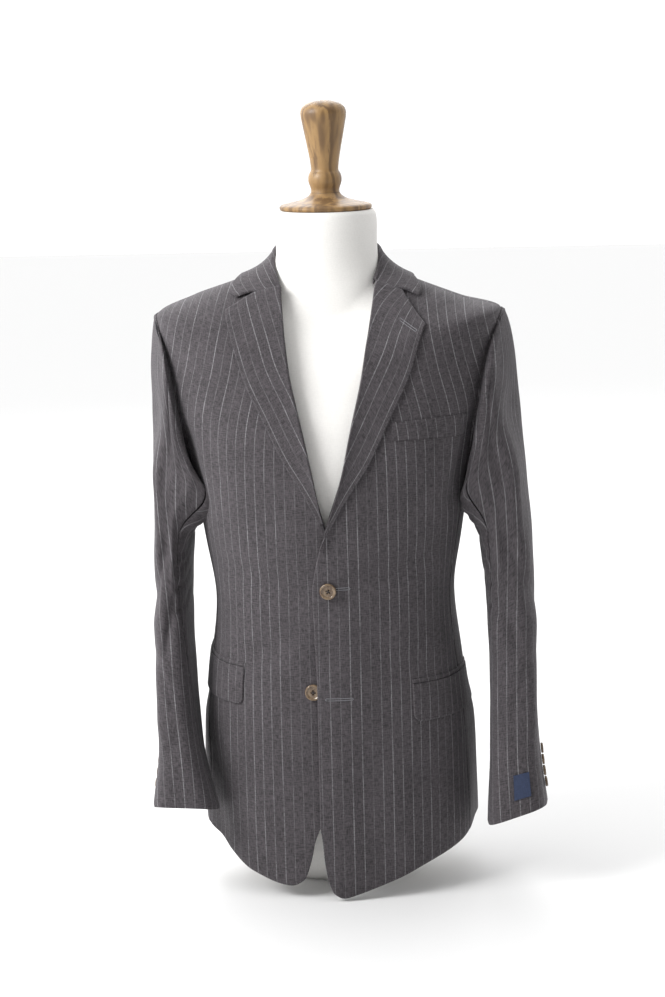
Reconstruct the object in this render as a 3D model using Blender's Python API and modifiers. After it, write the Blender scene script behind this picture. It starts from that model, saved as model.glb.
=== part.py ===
"""A two-button, notch-lapel suit jacket worn by a limbless dress form.

Every cloth piece is a closed wall cut from one worn surface. That surface is a stack of rings round
the torso: "level" runs up it from the hem to the neck seam, and "angle" runs round it from the
centre front (0) past the wearer's left side (90 degrees) to the centre back (180). Up to the
underarm a level is a height. Above it the rings tilt forwards and close over the shoulders.

Metres, +Z up. The jacket faces -Y and the wearer's left is +X. The origin is the centre of the
form's underside, which is the face that it stands on.
"""

import math

import bpy
import numpy as np
from mathutils import Matrix, Vector
from mathutils.bvhtree import BVHTree

NAME = "suit_jacket_on_dress_form"

# Cloth and its seams
CLOTH = 0.0022  # thickness of a jacket wall
SEAM = 0.0003  # gap between pieces that are sewn edge to edge
LAYER = 0.0010  # gap under a piece that lies on another
OVERLAP_OUT = 0.0034  # how far the buttoned left front stands off the right one
OPEN_OUT = 0.0048  # how much further its edge stands off below the fastened button
VENT_OUT = 0.0030

# Levels and angles of the main seams
HEM = 0.004  # lowest point of the front corners
HEM_BLEND = 0.284  # rows are level again from here up
UNDERARM, ARMHOLE_WIDEST, SHOULDER, NECK = 0.532, 0.594, 0.704, 0.824
ARMHOLE_FORE, ARMHOLE_HIND = math.radians(17.0), math.radians(21.0)  # from the side line
VENT_TOP = 0.254
VENT_LAP = 9.0  # degrees that the upper back laps over the lower one

NECK_LEAN = 0.025  # slope of the neck seam, down towards the wearer's left

# Dress form
FORM_INSET = 0.0095
NECK_TOP = 0.8425

# Buttons: diameter and thickness
FRONT_BUTTON = (0.0204, 0.0040)
CUFF_BUTTON = (0.0132, 0.0030)

LEFT, RIGHT = 1, -1
SIDE_NAMES = {LEFT: "left", RIGHT: "right"}


class Table:
    """Rows of sizes under named columns, read between the rows along a curve with no overshoot."""

    def __init__(self, names, *rows):
        self.names = names.split()
        self.rows = np.array(rows, float)

    def __call__(self, name, place):
        x = self.rows[:, 0]
        y = self.rows[:, self.names.index(name)]
        rise = np.diff(y) / np.diff(x)
        with np.errstate(divide="ignore", invalid="ignore"):
            between = 2 / (1 / rise[:-1] + 1 / rise[1:])
        between = np.where(rise[:-1] * rise[1:] > 0, between, 0)
        slope = np.concatenate([rise[:1], between, rise[-1:]])
        place = np.clip(place, x[0], x[-1])
        i = np.clip(np.searchsorted(x, place) - 1, 0, len(x) - 2)
        span = x[i + 1] - x[i]
        t = (place - x[i]) / span
        start = y[i] * (1 + 2 * t) * (1 - t) ** 2 + slope[i] * span * t * (1 - t) ** 2
        return start + y[i + 1] * t * t * (3 - 2 * t) - slope[i + 1] * span * t * t * (1 - t)


# The worn surface, one row a ring. "square" is the power of its superellipse.
RINGS = Table(
    "level  side_z front_z back_z half_width front_depth back_depth square",
    (0.000, 0.000, 0.000, 0.000, 0.1720, 0.1360, 0.1330, 2.50),
    (0.084, 0.084, 0.084, 0.084, 0.1720, 0.1350, 0.1320, 2.50),
    (0.184, 0.184, 0.184, 0.184, 0.1690, 0.1350, 0.1290, 2.50),
    (0.264, 0.264, 0.264, 0.264, 0.1610, 0.1330, 0.1190, 2.50),
    (0.364, 0.364, 0.364, 0.364, 0.1505, 0.1280, 0.1050, 2.45),
    (0.444, 0.444, 0.444, 0.444, 0.1610, 0.1330, 0.1130, 2.45),
    (0.532, 0.532, 0.532, 0.532, 0.1775, 0.1360, 0.1230, 2.45),
    (0.594, 0.600, 0.582, 0.609, 0.1920, 0.1310, 0.1260, 2.40),
    (0.654, 0.666, 0.624, 0.671, 0.2050, 0.1210, 0.1190, 2.35),
    (0.704, 0.717, 0.656, 0.717, 0.2130, 0.1110, 0.1070, 2.30),
    (0.744, 0.736, 0.680, 0.744, 0.1690, 0.0980, 0.0920, 2.20),
    (0.784, 0.753, 0.701, 0.766, 0.1210, 0.0820, 0.0800, 2.10),
    (0.824, 0.769, 0.719, 0.784, 0.0790, 0.0640, 0.0700, 2.00),
)

# Front edge of a front and, from the lapel's break upwards, its roll line: distance from the
# centre front towards the piece's own side
EDGE = Table(
    "level  offset",
    (0.000, -0.0155),
    (0.267, -0.0145),
    (0.389, -0.0185),
    (0.427, -0.0125),
    (0.474, 0.0018),
    (0.504, 0.0107),
    (0.546, 0.0208),
    (0.604, 0.0312),
    (0.684, 0.0452),
    (0.744, 0.0525),
    (0.824, 0.0600),
)
BREAK = {LEFT: 0.446, RIGHT: 0.478}  # level at which each lapel begins to turn over
SKEW = 0.0037  # the opening over the chest lies this far towards the wearer's left

# Height of the hem round each front and on to the back; the fronts' corners are cut away
HEMS = {
    LEFT: Table(
        "angle height",
        (-6.8, 0.102),
        (-5.4, 0.079),
        (-4.6, 0.053),
        (-2.9, 0.027),
        (0.0, 0.0105),
        (5.2, 0.004),
        (11.0, 0.007),
        (30.0, 0.023),
        (48.0, 0.042),
        (66.0, 0.055),
        (90.0, 0.066),
        (190.0, 0.070),
    ),
    RIGHT: Table(
        "angle height",
        (-6.8, 0.134),
        (2.0, 0.110),
        (9.2, 0.078),
        (11.6, 0.052),
        (15.5, 0.0255),
        (22.0, 0.017),
        (41.5, 0.032),
        (53.0, 0.051),
        (66.5, 0.065),
        (90.0, 0.074),
        (190.0, 0.070),
    ),
}


def radius(angle, level):
    """Distance from the torso's axis to the worn surface, in plan."""
    sine, cosine = np.abs(np.sin(angle)), np.cos(angle)
    depth = np.where(cosine > 0, RINGS("front_depth", level), RINGS("back_depth", level))
    power = RINGS("square", level)
    across = sine / RINGS("half_width", level)
    return (across**power + (np.abs(cosine) / depth) ** power) ** (-1 / power)


def smoothstep(value):
    t = np.clip(value, 0, 1)
    return t * t * (3 - 2 * t)


def body(angle, level):
    """Points of the smooth worn surface."""
    reach, cosine = radius(angle, level), np.cos(angle)
    side = RINGS("side_z", level)
    end = np.where(cosine > 0, RINGS("front_z", level), RINGS("back_z", level))
    lean = NECK_LEAN * smoothstep((np.asarray(level) - SHOULDER) / 0.05)
    height = side + (end - side) * cosine**2 - lean * reach * np.sin(angle)
    return np.stack([reach * np.sin(angle), -reach * cosine, height], -1)


def unit(vectors):
    return vectors / np.linalg.norm(vectors, axis=-1, keepdims=True)


def outward(angle, level):
    """Unit normals of the worn surface."""
    step = 1e-3
    round_ = body(angle + step, level) - body(angle - step, level)
    up = body(angle, np.minimum(level + step, NECK)) - body(angle, np.maximum(level - step, 0))
    return unit(np.cross(round_, up))


def angle_at(offset, level):
    """The angle at which a ring lies at this distance from the centre, on the front half."""
    low = np.full(np.broadcast(offset, level).shape, -math.pi / 2)
    high = -low
    for _ in range(40):
        middle = (low + high) / 2
        short = radius(middle, level) * np.sin(middle) < offset
        low, high = np.where(short, middle, low), np.where(short, high, middle)
    return (low + high) / 2


# Soft troughs (height < 0) and ridges of the worn cloth, each along a line on the surface
FOLDS = (
    # angle, level, to angle, to level, half width, height
    (10, 0.389, 58, 0.439, 0.016, -0.0030),
    (-12, 0.384, -60, 0.424, 0.016, -0.0028),
    (14, 0.344, 52, 0.284, 0.018, -0.0026),
    (-14, 0.349, -50, 0.294, 0.018, -0.0024),
    (62, 0.484, 70, 0.594, 0.012, -0.0040),
    (-63, 0.484, -70, 0.584, 0.012, -0.0040),
    (98, 0.014, 92, 0.234, 0.022, 0.0050),
    (-96, 0.014, -91, 0.234, 0.022, 0.0045),
    (128, 0.044, 118, 0.314, 0.020, -0.0045),
    (-126, 0.044, -117, 0.314, 0.020, -0.0040),
    (-62, 0.060, -66, 0.170, 0.024, -0.0080),
    (122, 0.454, 116, 0.584, 0.014, -0.0050),
    (-123, 0.464, -115, 0.584, 0.014, -0.0050),
    (150, 0.384, 176, 0.354, 0.014, -0.0030),
    (-148, 0.374, -175, 0.362, 0.014, -0.0030),
)


def relief(angle, level):
    """Height of the folds over the smooth surface: each is a bell across its line, faded at its ends."""
    mean_radius = 0.145
    total = np.zeros(np.broadcast(angle, level).shape)
    for start, low, end, high, half, height in FOLDS:
        along = np.array([math.radians(end - start) * mean_radius, high - low])
        length = np.hypot(*along)
        along /= length
        turn = angle - math.radians(start)
        dx = np.arctan2(np.sin(turn), np.cos(turn)) * mean_radius
        dz = level - low
        run = (dx * along[0] + dz * along[1]) / length
        away = (dx * along[1] - dz * along[0]) / half
        past = (run - np.clip(run, 0.15, 0.85)) * length / (1.5 * half)
        total += height * np.exp(-(away**2) - past**2)
    return total


def worn(angle, level, out=0.0):
    """Points of the worn surface with its folds, moved out, and their normals."""
    normal = outward(angle, level)
    lift = np.asarray(out + relief(angle, level))
    return body(angle, level) + normal * lift[..., None], normal


def finish(name, colour, roughness, metallic=0.0):
    material = bpy.data.materials.new(name)
    material.use_nodes = True
    shader = material.node_tree.nodes["Principled BSDF"]
    shader.inputs["Base Color"].default_value = (*colour, 1)
    shader.inputs["Roughness"].default_value = roughness
    shader.inputs["Metallic"].default_value = metallic
    return material


def add_object(name, mesh, colour, roughness=0.9):
    """Puts a mesh in the part's collection under its own name, with a material of its own."""
    if not mesh.materials:
        mesh.materials.append(finish(name, colour, roughness))
    obj = bpy.data.objects.new(name, mesh)
    bpy.data.collections[NAME].objects.link(obj)
    return obj


CHARCOAL = (0.085, 0.080, 0.087)
COVER = (0.86, 0.84, 0.79)
WALNUT = (0.27, 0.16, 0.08)
HORN = (0.30, 0.20, 0.12)
NAVY = (0.03, 0.07, 0.18)


def wall(name, outer, normal, colour=CHARCOAL, thickness=CLOTH):
    """A closed sheet: a grid of points, the same grid moved in by the thickness, and its rim."""
    rows, columns = outer.shape[:2]
    points = np.concatenate([outer.reshape(-1, 3), (outer - normal * thickness).reshape(-1, 3)])
    index = np.arange(rows * columns).reshape(rows, columns)
    quads = np.stack([index[:-1, :-1], index[:-1, 1:], index[1:, 1:], index[1:, :-1]], -1)
    quads = quads.reshape(-1, 4)
    rim = np.concatenate([index[0, :-1], index[:-1, -1], index[-1, :0:-1], index[:0:-1, 0]])
    count = rows * columns
    sides = np.stack([rim, rim + count, np.roll(rim, -1) + count, np.roll(rim, -1)], -1)
    faces = np.concatenate([quads, quads[:, ::-1] + count, sides])
    middle = (rows // 2, columns // 2)
    across = outer[middle[0], middle[1]] - outer[middle[0], middle[1] - 1]
    up = outer[middle[0], middle[1]] - outer[middle[0] - 1, middle[1]]
    if np.dot(np.cross(across, up), normal[middle]) < 0:
        faces = faces[:, ::-1]
    mesh = bpy.data.meshes.new(name)
    mesh.from_pydata(points.tolist(), [], faces.tolist())
    mesh.shade_smooth()
    mesh.set_sharp_from_angle(angle=math.radians(60))
    return add_object(name, mesh, colour)


def laid_on(names, points, normal, out):
    """Points of these pieces' own outer faces, met along each normal from outside, then moved out."""
    corners, faces = [], []
    for name in names:
        mesh = bpy.data.objects[name].data
        mesh.calc_loop_triangles()
        faces += [[len(corners) + i for i in triangle.vertices] for triangle in mesh.loop_triangles]
        corners += [vertex.co for vertex in mesh.vertices]
    tree = BVHTree.FromPolygons(corners, faces)
    placed = points + normal * np.asarray(out)[..., None]
    lifts = np.broadcast_to(out, points.shape[:-1])
    for index in np.ndindex(points.shape[:-1]):
        outside, away = Vector(points[index] + normal[index] * 0.02), Vector(normal[index])
        met = tree.ray_cast(outside, -away, 0.03)[0]
        if met:
            placed[index] = met + away * lifts[index]
    return placed


def closed_loft(name, rings, colour, roughness=0.9):
    """A solid through closed rings, from the lowest up, with flat ends."""
    count, around = rings.shape[:2]
    index = np.arange(count * around).reshape(count, around)
    following = np.roll(index, -1, axis=1)
    quads = np.stack([index[:-1], following[:-1], following[1:], index[1:]], -1).reshape(-1, 4)
    faces = quads.tolist() + [index[0, ::-1].tolist(), index[-1].tolist()]
    mesh = bpy.data.meshes.new(name)
    mesh.from_pydata(rings.reshape(-1, 3).tolist(), [], faces)
    mesh.shade_smooth()
    mesh.set_sharp_from_angle(angle=math.radians(50))
    return add_object(name, mesh, colour, roughness)


def turned(name, profile, steps, colour, roughness):
    """A turned piece. The profile is (radius, height) pairs from the top of its axis to the bottom."""
    mesh = bpy.data.meshes.new(name)
    points = [(across, 0, height) for across, height in profile]
    mesh.from_pydata(points, [(i, i + 1) for i in range(len(points) - 1)], [])
    obj = add_object(name, mesh, colour, roughness)
    screw = obj.modifiers.new("Turn", "SCREW")
    screw.axis = "Z"
    screw.steps = screw.render_steps = steps
    screw.use_merge_vertices = True
    screw.merge_threshold = 0.00001
    return obj


# Jacket body -------------------------------------------------------------------------------


def hem_rows(nominal, angle, side):
    """Levels of a panel's rows: the lowest follows the hem, and they even out higher up."""
    fade = np.clip((HEM_BLEND - nominal) / (HEM_BLEND - HEM), 0, 1) ** 2
    height = HEMS[side]("height", np.degrees(np.abs(angle)) * np.sign(angle * side))
    return nominal + (height - HEM) * fade


def armhole_edge(level, widest):
    """Angle between the side line and the armhole's upper half, or the side seam below it."""
    rise = np.clip((level - ARMHOLE_WIDEST) / (SHOULDER - ARMHOLE_WIDEST), 0, 1)
    return widest * np.sqrt(1 - rise**2)


def front_edge(side, level):
    """Distance of a front's edge, or of its roll line, from the centre front to its own side."""
    return EDGE("offset", level) + side * SKEW * smoothstep((level - 0.454) / 0.09)


def overlap(side, offset, level):
    """How far a front stands out where it laps over the other one: only the wearer's left does."""
    if side == RIGHT:
        return 0.0
    lapped = OVERLAP_OUT * smoothstep((0.075 - offset) / 0.055) * smoothstep((0.604 - level) / 0.12)
    return lapped + OPEN_OUT * smoothstep((0.050 - offset) / 0.050) * smoothstep((0.370 - level) / 0.07)


def armhole_levels(count):
    """Levels from the armhole's widest place to the shoulder, closer together near the top."""
    return ARMHOLE_WIDEST + (SHOULDER - ARMHOLE_WIDEST) * np.sin(np.linspace(0, math.pi / 2, count))


FRONT_LEVELS = (
    *np.linspace(HEM, 0.085, 5),
    *np.linspace(0.125, 0.565, 13),
    *armhole_levels(6),
    0.716,
    0.735,
    0.764,
    0.794,
    NECK,
)


def front_grid(side, levels, columns):
    """Angles and levels of one front, from its front edge or roll line to the side seam."""
    across = np.linspace(0, 1, columns) ** 1.5
    nominal = np.asarray(levels)[:, None] + np.zeros(columns)
    inner = angle_at(front_edge(side, nominal[:, :1]), nominal[:, :1])
    outer = math.pi / 2 - armhole_edge(nominal[:, :1], ARMHOLE_FORE) - SEAM / 0.16
    angle = side * (inner + (outer - inner) * across)
    return angle, hem_rows(nominal, angle, side)


def add_front(side):
    angle, level = front_grid(side, FRONT_LEVELS, 14)
    offset = radius(angle, level) * np.sin(angle) * side
    points, normal = worn(angle, level, overlap(side, offset, level))
    wall(f"front_{SIDE_NAMES[side]}", points, normal)


def add_side_body(side):
    """The panel under the arm. Its top edge is the lower half of the armhole."""
    turn = np.sin(np.linspace(-math.pi / 2, math.pi / 2, 8))
    gap = SEAM / 0.17
    past_side = np.where(turn < 0, turn * (ARMHOLE_FORE - gap), turn * (ARMHOLE_HIND - gap))
    top = ARMHOLE_WIDEST - (ARMHOLE_WIDEST - UNDERARM) * np.sqrt(1 - turn**2)
    nominal = HEM + (top - HEM) * np.linspace(0, 1, 15)[:, None]
    angle = side * (math.pi / 2 + past_side) + np.zeros_like(nominal)
    points, normal = worn(angle, hem_rows(nominal, angle, side))
    wall(f"side_body_{SIDE_NAMES[side]}", points, normal)


BACK_LEVELS = (
    *np.linspace(HEM, VENT_TOP - 0.03, 6),
    *np.linspace(VENT_TOP, 0.565, 9),
    *armhole_levels(6),
    0.716,
    0.735,
    0.764,
    0.794,
    NECK,
)


def add_back(side):
    """A half back, to the centre seam. Below the vent's top the left one laps over the right."""
    level = np.array(BACK_LEVELS)[:, None]
    seam = SEAM / 0.13
    lap = math.radians(VENT_LAP) * smoothstep((VENT_TOP - level) / 0.03) * (side == LEFT)
    outer = math.pi / 2 + armhole_edge(level, ARMHOLE_HIND) + SEAM / 0.16
    inner = math.pi - seam + lap
    angle = outer + (inner - outer) * np.linspace(0, 1, 12)
    past = np.maximum(angle, math.pi - 0.5) - (math.pi - 0.5)
    out = VENT_OUT * smoothstep(past / 0.4) * smoothstep((VENT_TOP + 0.09 - level) / 0.06)
    angle = angle * side
    points, normal = worn(angle, hem_rows(level + np.zeros_like(angle), angle, side), out * (side == LEFT))
    wall(f"back_{SIDE_NAMES[side]}", points, normal)


# Lapels and collar -------------------------------------------------------------------------

LAPEL_EDGE = Table(
    "level  offset",
    (0.446, -0.0060),
    (0.462, 0.0018),
    (0.474, 0.0075),
    (0.504, 0.0232),
    (0.550, 0.0497),
    (0.613, 0.0766),
    (0.663, 0.0992),
    (0.710, 0.1136),
    (0.741, 0.1225),
)
LAPEL_TIP = {LEFT: 0.728, RIGHT: 0.750}  # levels
COLLAR_TIP = (0.1085, 0.774)  # offset, level
GORGE_SEWN = 0.62  # share of the line from the roll to the collar's tip that is sewn to the lapel
GORGE_SHARE = 0.48  # share of the lapel's top edge that the sewn part takes
LAPEL_OUT = 1.8 * LAYER + CLOTH
LAPEL_ROLL = 0.0040  # how far the fold stands off the chest


def gorge_line(side, share):
    """Offset and level along the line from the roll line's top to the collar's tip."""
    start = (front_edge(side, np.array(NECK)), NECK)
    tip = (COLLAR_TIP[0] + side * SKEW, COLLAR_TIP[1])
    return [start[i] + (tip[i] - start[i]) * share for i in (0, 1)]


def lapel_grid(side, across, up):
    """Offsets and levels of a lapel, between its roll line and its outer edge.

    The rows are straight from the roll to the edge. The top row is bent down to follow the gorge
    seam as far as the notch and then the lapel's own top edge.
    """
    first, tip_level = BREAK[side], LAPEL_TIP[side]
    height = first + (NECK - first) * up
    outer = first + (tip_level - first) * up
    skew = side * SKEW * smoothstep((outer - 0.454) / 0.09)
    roll_offset, edge_offset = front_edge(side, height), LAPEL_EDGE("offset", outer) + skew
    offset = roll_offset + (edge_offset - roll_offset) * across
    level = height + (outer - height) * across
    sewn = gorge_line(side, GORGE_SEWN * np.clip(across / GORGE_SHARE, 0, 1))
    free = np.clip((across - GORGE_SHARE) / (1 - GORGE_SHARE), 0, 1)
    tip = (LAPEL_EDGE("offset", tip_level) + side * SKEW, tip_level)
    roll_top = (front_edge(side, np.array(NECK)), NECK)
    bend = up**5
    shifts = [
        sewn[i] + (tip[i] - sewn[i]) * free - (roll_top[i] + (tip[i] - roll_top[i]) * across)
        for i in (0, 1)
    ]
    return offset + shifts[0] * bend, level + shifts[1] * bend


def add_lapel(side):
    across, up = np.meshgrid(np.linspace(0, 1, 9), np.linspace(0, 1, 20))
    offset, level = lapel_grid(side, across, up)
    roll = LAPEL_ROLL * np.exp(-3.5 * across) * smoothstep(up / 0.2)
    points, normal = worn(side * angle_at(offset, level), level, overlap(side, offset, level))
    points = laid_on([f"front_{SIDE_NAMES[side]}"], points, normal, LAPEL_OUT + roll)
    wall(f"lapel_{SIDE_NAMES[side]}", points, normal)


# Collar, by angle from the front: how far its fold lies inside the neck seam, the fold's height,
# and the level that the leaf's edge reaches on the shoulders
COLLAR = Table(
    "angle fold_in fold_z edge_level",
    (48.0, -0.0045, 0.751, 0.772),
    (66.0, 0.0030, 0.772, 0.774),
    (90.0, 0.0100, 0.7905, 0.798),
    (130.0, 0.0080, 0.8040, 0.794),
    (180.0, 0.0055, 0.8100, 0.791),
)
COLLAR_OUT = LAPEL_OUT + 0.0012
GORGE_GAP = 0.0024
STAND = 0.0016  # thickness of the collar's stand
STAND_END = 64.0


def signed(angle):
    return np.where(angle > math.pi, angle - 2 * math.pi, angle)


def collar_fold(angle):
    """The line on which the collar folds over, above the neck seam."""
    points = body(angle, np.full_like(angle, NECK))
    plan = unit(points * np.array([1, 1, 0]))
    degrees = np.degrees(np.abs(angle))
    points -= plan * COLLAR("fold_in", degrees)[..., None]
    points[..., 2] = COLLAR("fold_z", degrees) - NECK_LEAN * points[..., 0]
    return points, plan


def ring_between(ends, count):
    """Angles from the left end of the collar round the back to its right end."""
    return signed(np.linspace(ends[LEFT], 2 * math.pi - ends[RIGHT], count))


def add_collar():
    """The leaf lies on the shoulders and rises to the fold; the stand runs from the seam up to it."""
    columns = 27
    ends = {}
    for side in (LEFT, RIGHT):
        top, tip = (gorge_line(side, share) for share in (0, 1))
        ends[side] = [
            float(angle_at(np.array(offset), np.array(level))) + GORGE_GAP / reach
            for (offset, level), reach in ((top, 0.079), (tip, 0.12))
        ]
    at_fold, at_edge = (ring_between({s: ends[s][i] for s in ends}, columns) for i in (0, 1))
    edge_level = COLLAR("edge_level", np.degrees(np.abs(at_edge)))
    down = np.linspace(0, 1, 7)[:, None]
    turn = np.unwrap(at_fold) + (np.unwrap(at_edge) - np.unwrap(at_fold)) * down
    level = NECK + (edge_level - NECK) * down**2
    surface, _ = worn(signed(np.mod(turn, 2 * math.pi)), level, COLLAR_OUT)
    fold, _ = collar_fold(at_fold)
    leaf = surface + (fold - surface[:1]) * ((1 - down) ** 2)[..., None]
    normal = unit(np.cross(np.gradient(leaf, axis=1), np.gradient(leaf, axis=0)))
    wall("collar_leaf", leaf, -normal)
    angle = ring_between({side: math.radians(STAND_END) for side in (LEFT, RIGHT)}, 25)
    fold, plan = collar_fold(angle)
    top = fold - plan * (CLOTH + LAYER + 0.0001) - np.array([0, 0, 0.002])
    foot = body(angle, np.full_like(angle, NECK)) - plan * 0.0030 + np.array([0, 0, 0.0010])
    stand = foot + (top - foot) * np.linspace(0, 1, 3)[:, None, None]
    wall("collar_stand", stand, plan + np.zeros_like(stand), thickness=STAND)


# Sleeves -----------------------------------------------------------------------------------

# One row a section, from the armhole to the cuff. Outer and inner are the section's ends in the
# front view, fore and hind its ends in the side view. The seam angles run from the outer side (0)
# forwards; the upper sleeve lies between them.
SLEEVE_COLUMNS = "along outer_x outer_z inner_x inner_z fore_y hind_y fore_rise hind_seam fore_seam"
SLEEVES = {
    LEFT: Table(
        SLEEVE_COLUMNS,
        (0.00, 0.2145, 0.7170, 0.1790, 0.533, -0.061, 0.066, 0.000, -75, 118),
        (0.05, 0.2220, 0.7070, 0.1860, 0.525, -0.064, 0.070, 0.000, -75, 118),
        (0.12, 0.2275, 0.6790, 0.1860, 0.510, -0.069, 0.075, 0.000, -74, 118),
        (0.20, 0.2325, 0.6340, 0.1845, 0.492, -0.073, 0.078, 0.000, -72, 119),
        (0.30, 0.2375, 0.5740, 0.1810, 0.466, -0.076, 0.077, 0.000, -68, 120),
        (0.40, 0.2430, 0.5090, 0.1825, 0.431, -0.078, 0.070, 0.003, -60, 124),
        (0.50, 0.2490, 0.4340, 0.1885, 0.384, -0.080, 0.058, 0.006, -48, 132),
        (0.62, 0.2510, 0.3540, 0.1920, 0.326, -0.084, 0.045, 0.008, -34, 146),
        (0.74, 0.2515, 0.2740, 0.1940, 0.256, -0.093, 0.033, 0.010, -16, 166),
        (0.87, 0.2550, 0.1840, 0.1930, 0.170, -0.105, 0.014, 0.011, 2, 186),
        (1.00, 0.2650, 0.1030, 0.1890, 0.076, -0.118, -0.010, 0.012, 14, 198),
    ),
    RIGHT: Table(
        SLEEVE_COLUMNS,
        (0.00, 0.2145, 0.7170, 0.1790, 0.533, -0.061, 0.066, 0.000, -75, 118),
        (0.05, 0.2195, 0.7070, 0.1860, 0.525, -0.064, 0.070, 0.000, -75, 118),
        (0.12, 0.2225, 0.6790, 0.1855, 0.510, -0.069, 0.075, 0.000, -74, 118),
        (0.20, 0.2250, 0.6340, 0.1830, 0.492, -0.073, 0.078, 0.000, -72, 119),
        (0.30, 0.2250, 0.5740, 0.1805, 0.466, -0.076, 0.077, 0.000, -69, 120),
        (0.40, 0.2235, 0.5090, 0.1795, 0.431, -0.078, 0.070, 0.003, -62, 122),
        (0.50, 0.2230, 0.4340, 0.1820, 0.384, -0.081, 0.057, 0.006, -54, 126),
        (0.62, 0.2220, 0.3550, 0.1810, 0.330, -0.089, 0.039, 0.008, -46, 134),
        (0.74, 0.2195, 0.2770, 0.1765, 0.263, -0.106, 0.018, 0.010, -36, 146),
        (0.87, 0.2180, 0.1905, 0.1665, 0.184, -0.132, -0.022, 0.012, -26, 158),
        (1.00, 0.2240, 0.1145, 0.1425, 0.112, -0.158, -0.072, 0.014, -18, 166),
    ),
}
SLEEVE_SQUARE = 2.3
SLEEVE_ROWS = (0.0, 0.02, 0.05, 0.085, 0.12, 0.165, *np.linspace(0.22, 1.0, 12))
HEAD_END = 0.12  # the sleeve leaves the armhole's shape by here

# Soft folds of a sleeve: place along it, angle round it, to place, to angle, half width, height
SLEEVE_FOLDS = (
    (0.10, 60, 0.36, 78, 0.012, -0.0045),
    (0.20, 20, 0.50, 44, 0.014, -0.0035),
    (0.44, 95, 0.62, 40, 0.012, -0.0040),
    (0.56, 120, 0.70, 70, 0.012, -0.0045),
    (0.62, 30, 0.86, 50, 0.014, 0.0030),
    (0.30, -60, 0.60, -40, 0.016, -0.0050),
    (0.62, -90, 0.74, -20, 0.014, -0.0040),
)


def armhole(turn, side):
    """Points of the armhole's rim: turn is 0 at the shoulder and a quarter at its front."""
    cosine = np.cos(turn)
    reach = np.where(cosine > 0, SHOULDER - ARMHOLE_WIDEST, ARMHOLE_WIDEST - UNDERARM)
    level = ARMHOLE_WIDEST + reach * cosine
    sine = np.sin(turn)
    angle = side * (math.pi / 2 - np.where(sine > 0, ARMHOLE_FORE, ARMHOLE_HIND) * sine)
    return worn(angle, level, 0.0030)[0]


def sleeve_surface(side, turn, along):
    """Points of a sleeve's outer face. Each section is a superellipse through its four ends."""
    size = SLEEVES[side]

    def end(which):
        return np.stack(
            [size(f"{which}_x", along) * side, np.zeros_like(along), size(f"{which}_z", along)], -1
        )

    middle_y = (size("fore_y", along) + size("hind_y", along)) / 2
    half_depth = (size("hind_y", along) - size("fore_y", along)) / 2
    centre = (end("outer") + end("inner")) / 2
    centre[..., 1] = middle_y
    half = (end("outer") - end("inner")) / 2
    cosine, sine = np.cos(turn), np.sin(turn)
    scale = (np.abs(cosine) ** SLEEVE_SQUARE + np.abs(sine) ** SLEEVE_SQUARE) ** (-1 / SLEEVE_SQUARE)
    tube = centre + half * (cosine * scale)[..., None]
    tube[..., 1] -= half_depth * sine * scale
    tube[..., 2] += size("fore_rise", along) * sine * scale
    share = smoothstep(along / HEAD_END)[..., None]
    return armhole(turn, side) * (1 - share) + tube * share


def sleeve_relief(turn, along):
    length, mean_radius = 0.62, 0.055
    total = np.zeros(np.broadcast(turn, along).shape)
    for low, start, high, end, half, height in SLEEVE_FOLDS:
        line = np.array([(high - low) * length, math.radians(end - start) * mean_radius])
        span = np.hypot(*line)
        line /= span
        dz = (along - low) * length
        away_from = turn - math.radians(start)
        dx = np.arctan2(np.sin(away_from), np.cos(away_from)) * mean_radius
        run = (dz * line[0] + dx * line[1]) / span
        away = (dz * line[1] - dx * line[0]) / half
        past = (run - np.clip(run, 0.15, 0.85)) * span / (1.5 * half)
        total += height * np.exp(-(away**2) - past**2)
    return total * smoothstep((along - 0.05) / 0.1)


def sleeve(side, turn, along, out=0.0):
    """Points of a sleeve with its folds, moved out, and their normals."""
    step = 1e-3
    round_ = sleeve_surface(side, turn + step, along) - sleeve_surface(side, turn - step, along)
    low, high = np.maximum(along - step, 0), np.minimum(along + step, 1)
    down = sleeve_surface(side, turn, high) - sleeve_surface(side, turn, low)
    normal = unit(np.cross(round_, down)) * side
    lift = np.asarray(out + sleeve_relief(turn, along))
    return sleeve_surface(side, turn, along) + normal * lift[..., None], normal


def add_sleeve(side):
    """Upper and under sleeve, sewn along the fore seam and the hind seam."""
    along = np.array(SLEEVE_ROWS)[:, None]
    seam = 2.4 * SEAM / 0.055
    hind = np.radians(SLEEVES[side]("hind_seam", along))
    fore = np.radians(SLEEVES[side]("fore_seam", along))
    spans = {"upper": (hind + seam, fore - seam, 13), "under": (fore + seam, hind + 2 * math.pi - seam, 9)}
    for piece, (start, end, columns) in spans.items():
        turn = start + (end - start) * np.linspace(0, 1, columns)
        points, normal = sleeve(side, turn, along + np.zeros_like(turn))
        wall(f"sleeve_{piece}_{SIDE_NAMES[side]}", points, normal)


# Pockets, label and buttons ----------------------------------------------------------------

# Front corner's angle, hind corner's angle, level at the front, rise to the back
FLAPS = {LEFT: (41.0, 91.0, 0.2715, -0.003), RIGHT: (44.5, 94.5, 0.292, 0.004)}
FLAP_HEIGHT, JET_HEIGHT = 0.047, 0.0055
JET = 0.0014  # thickness of a jet and of the welt
BREAST = (33.0, 67.0, 0.580, -0.009)  # the same, for the welt's foot
WELT_HEIGHT = 0.026


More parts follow.
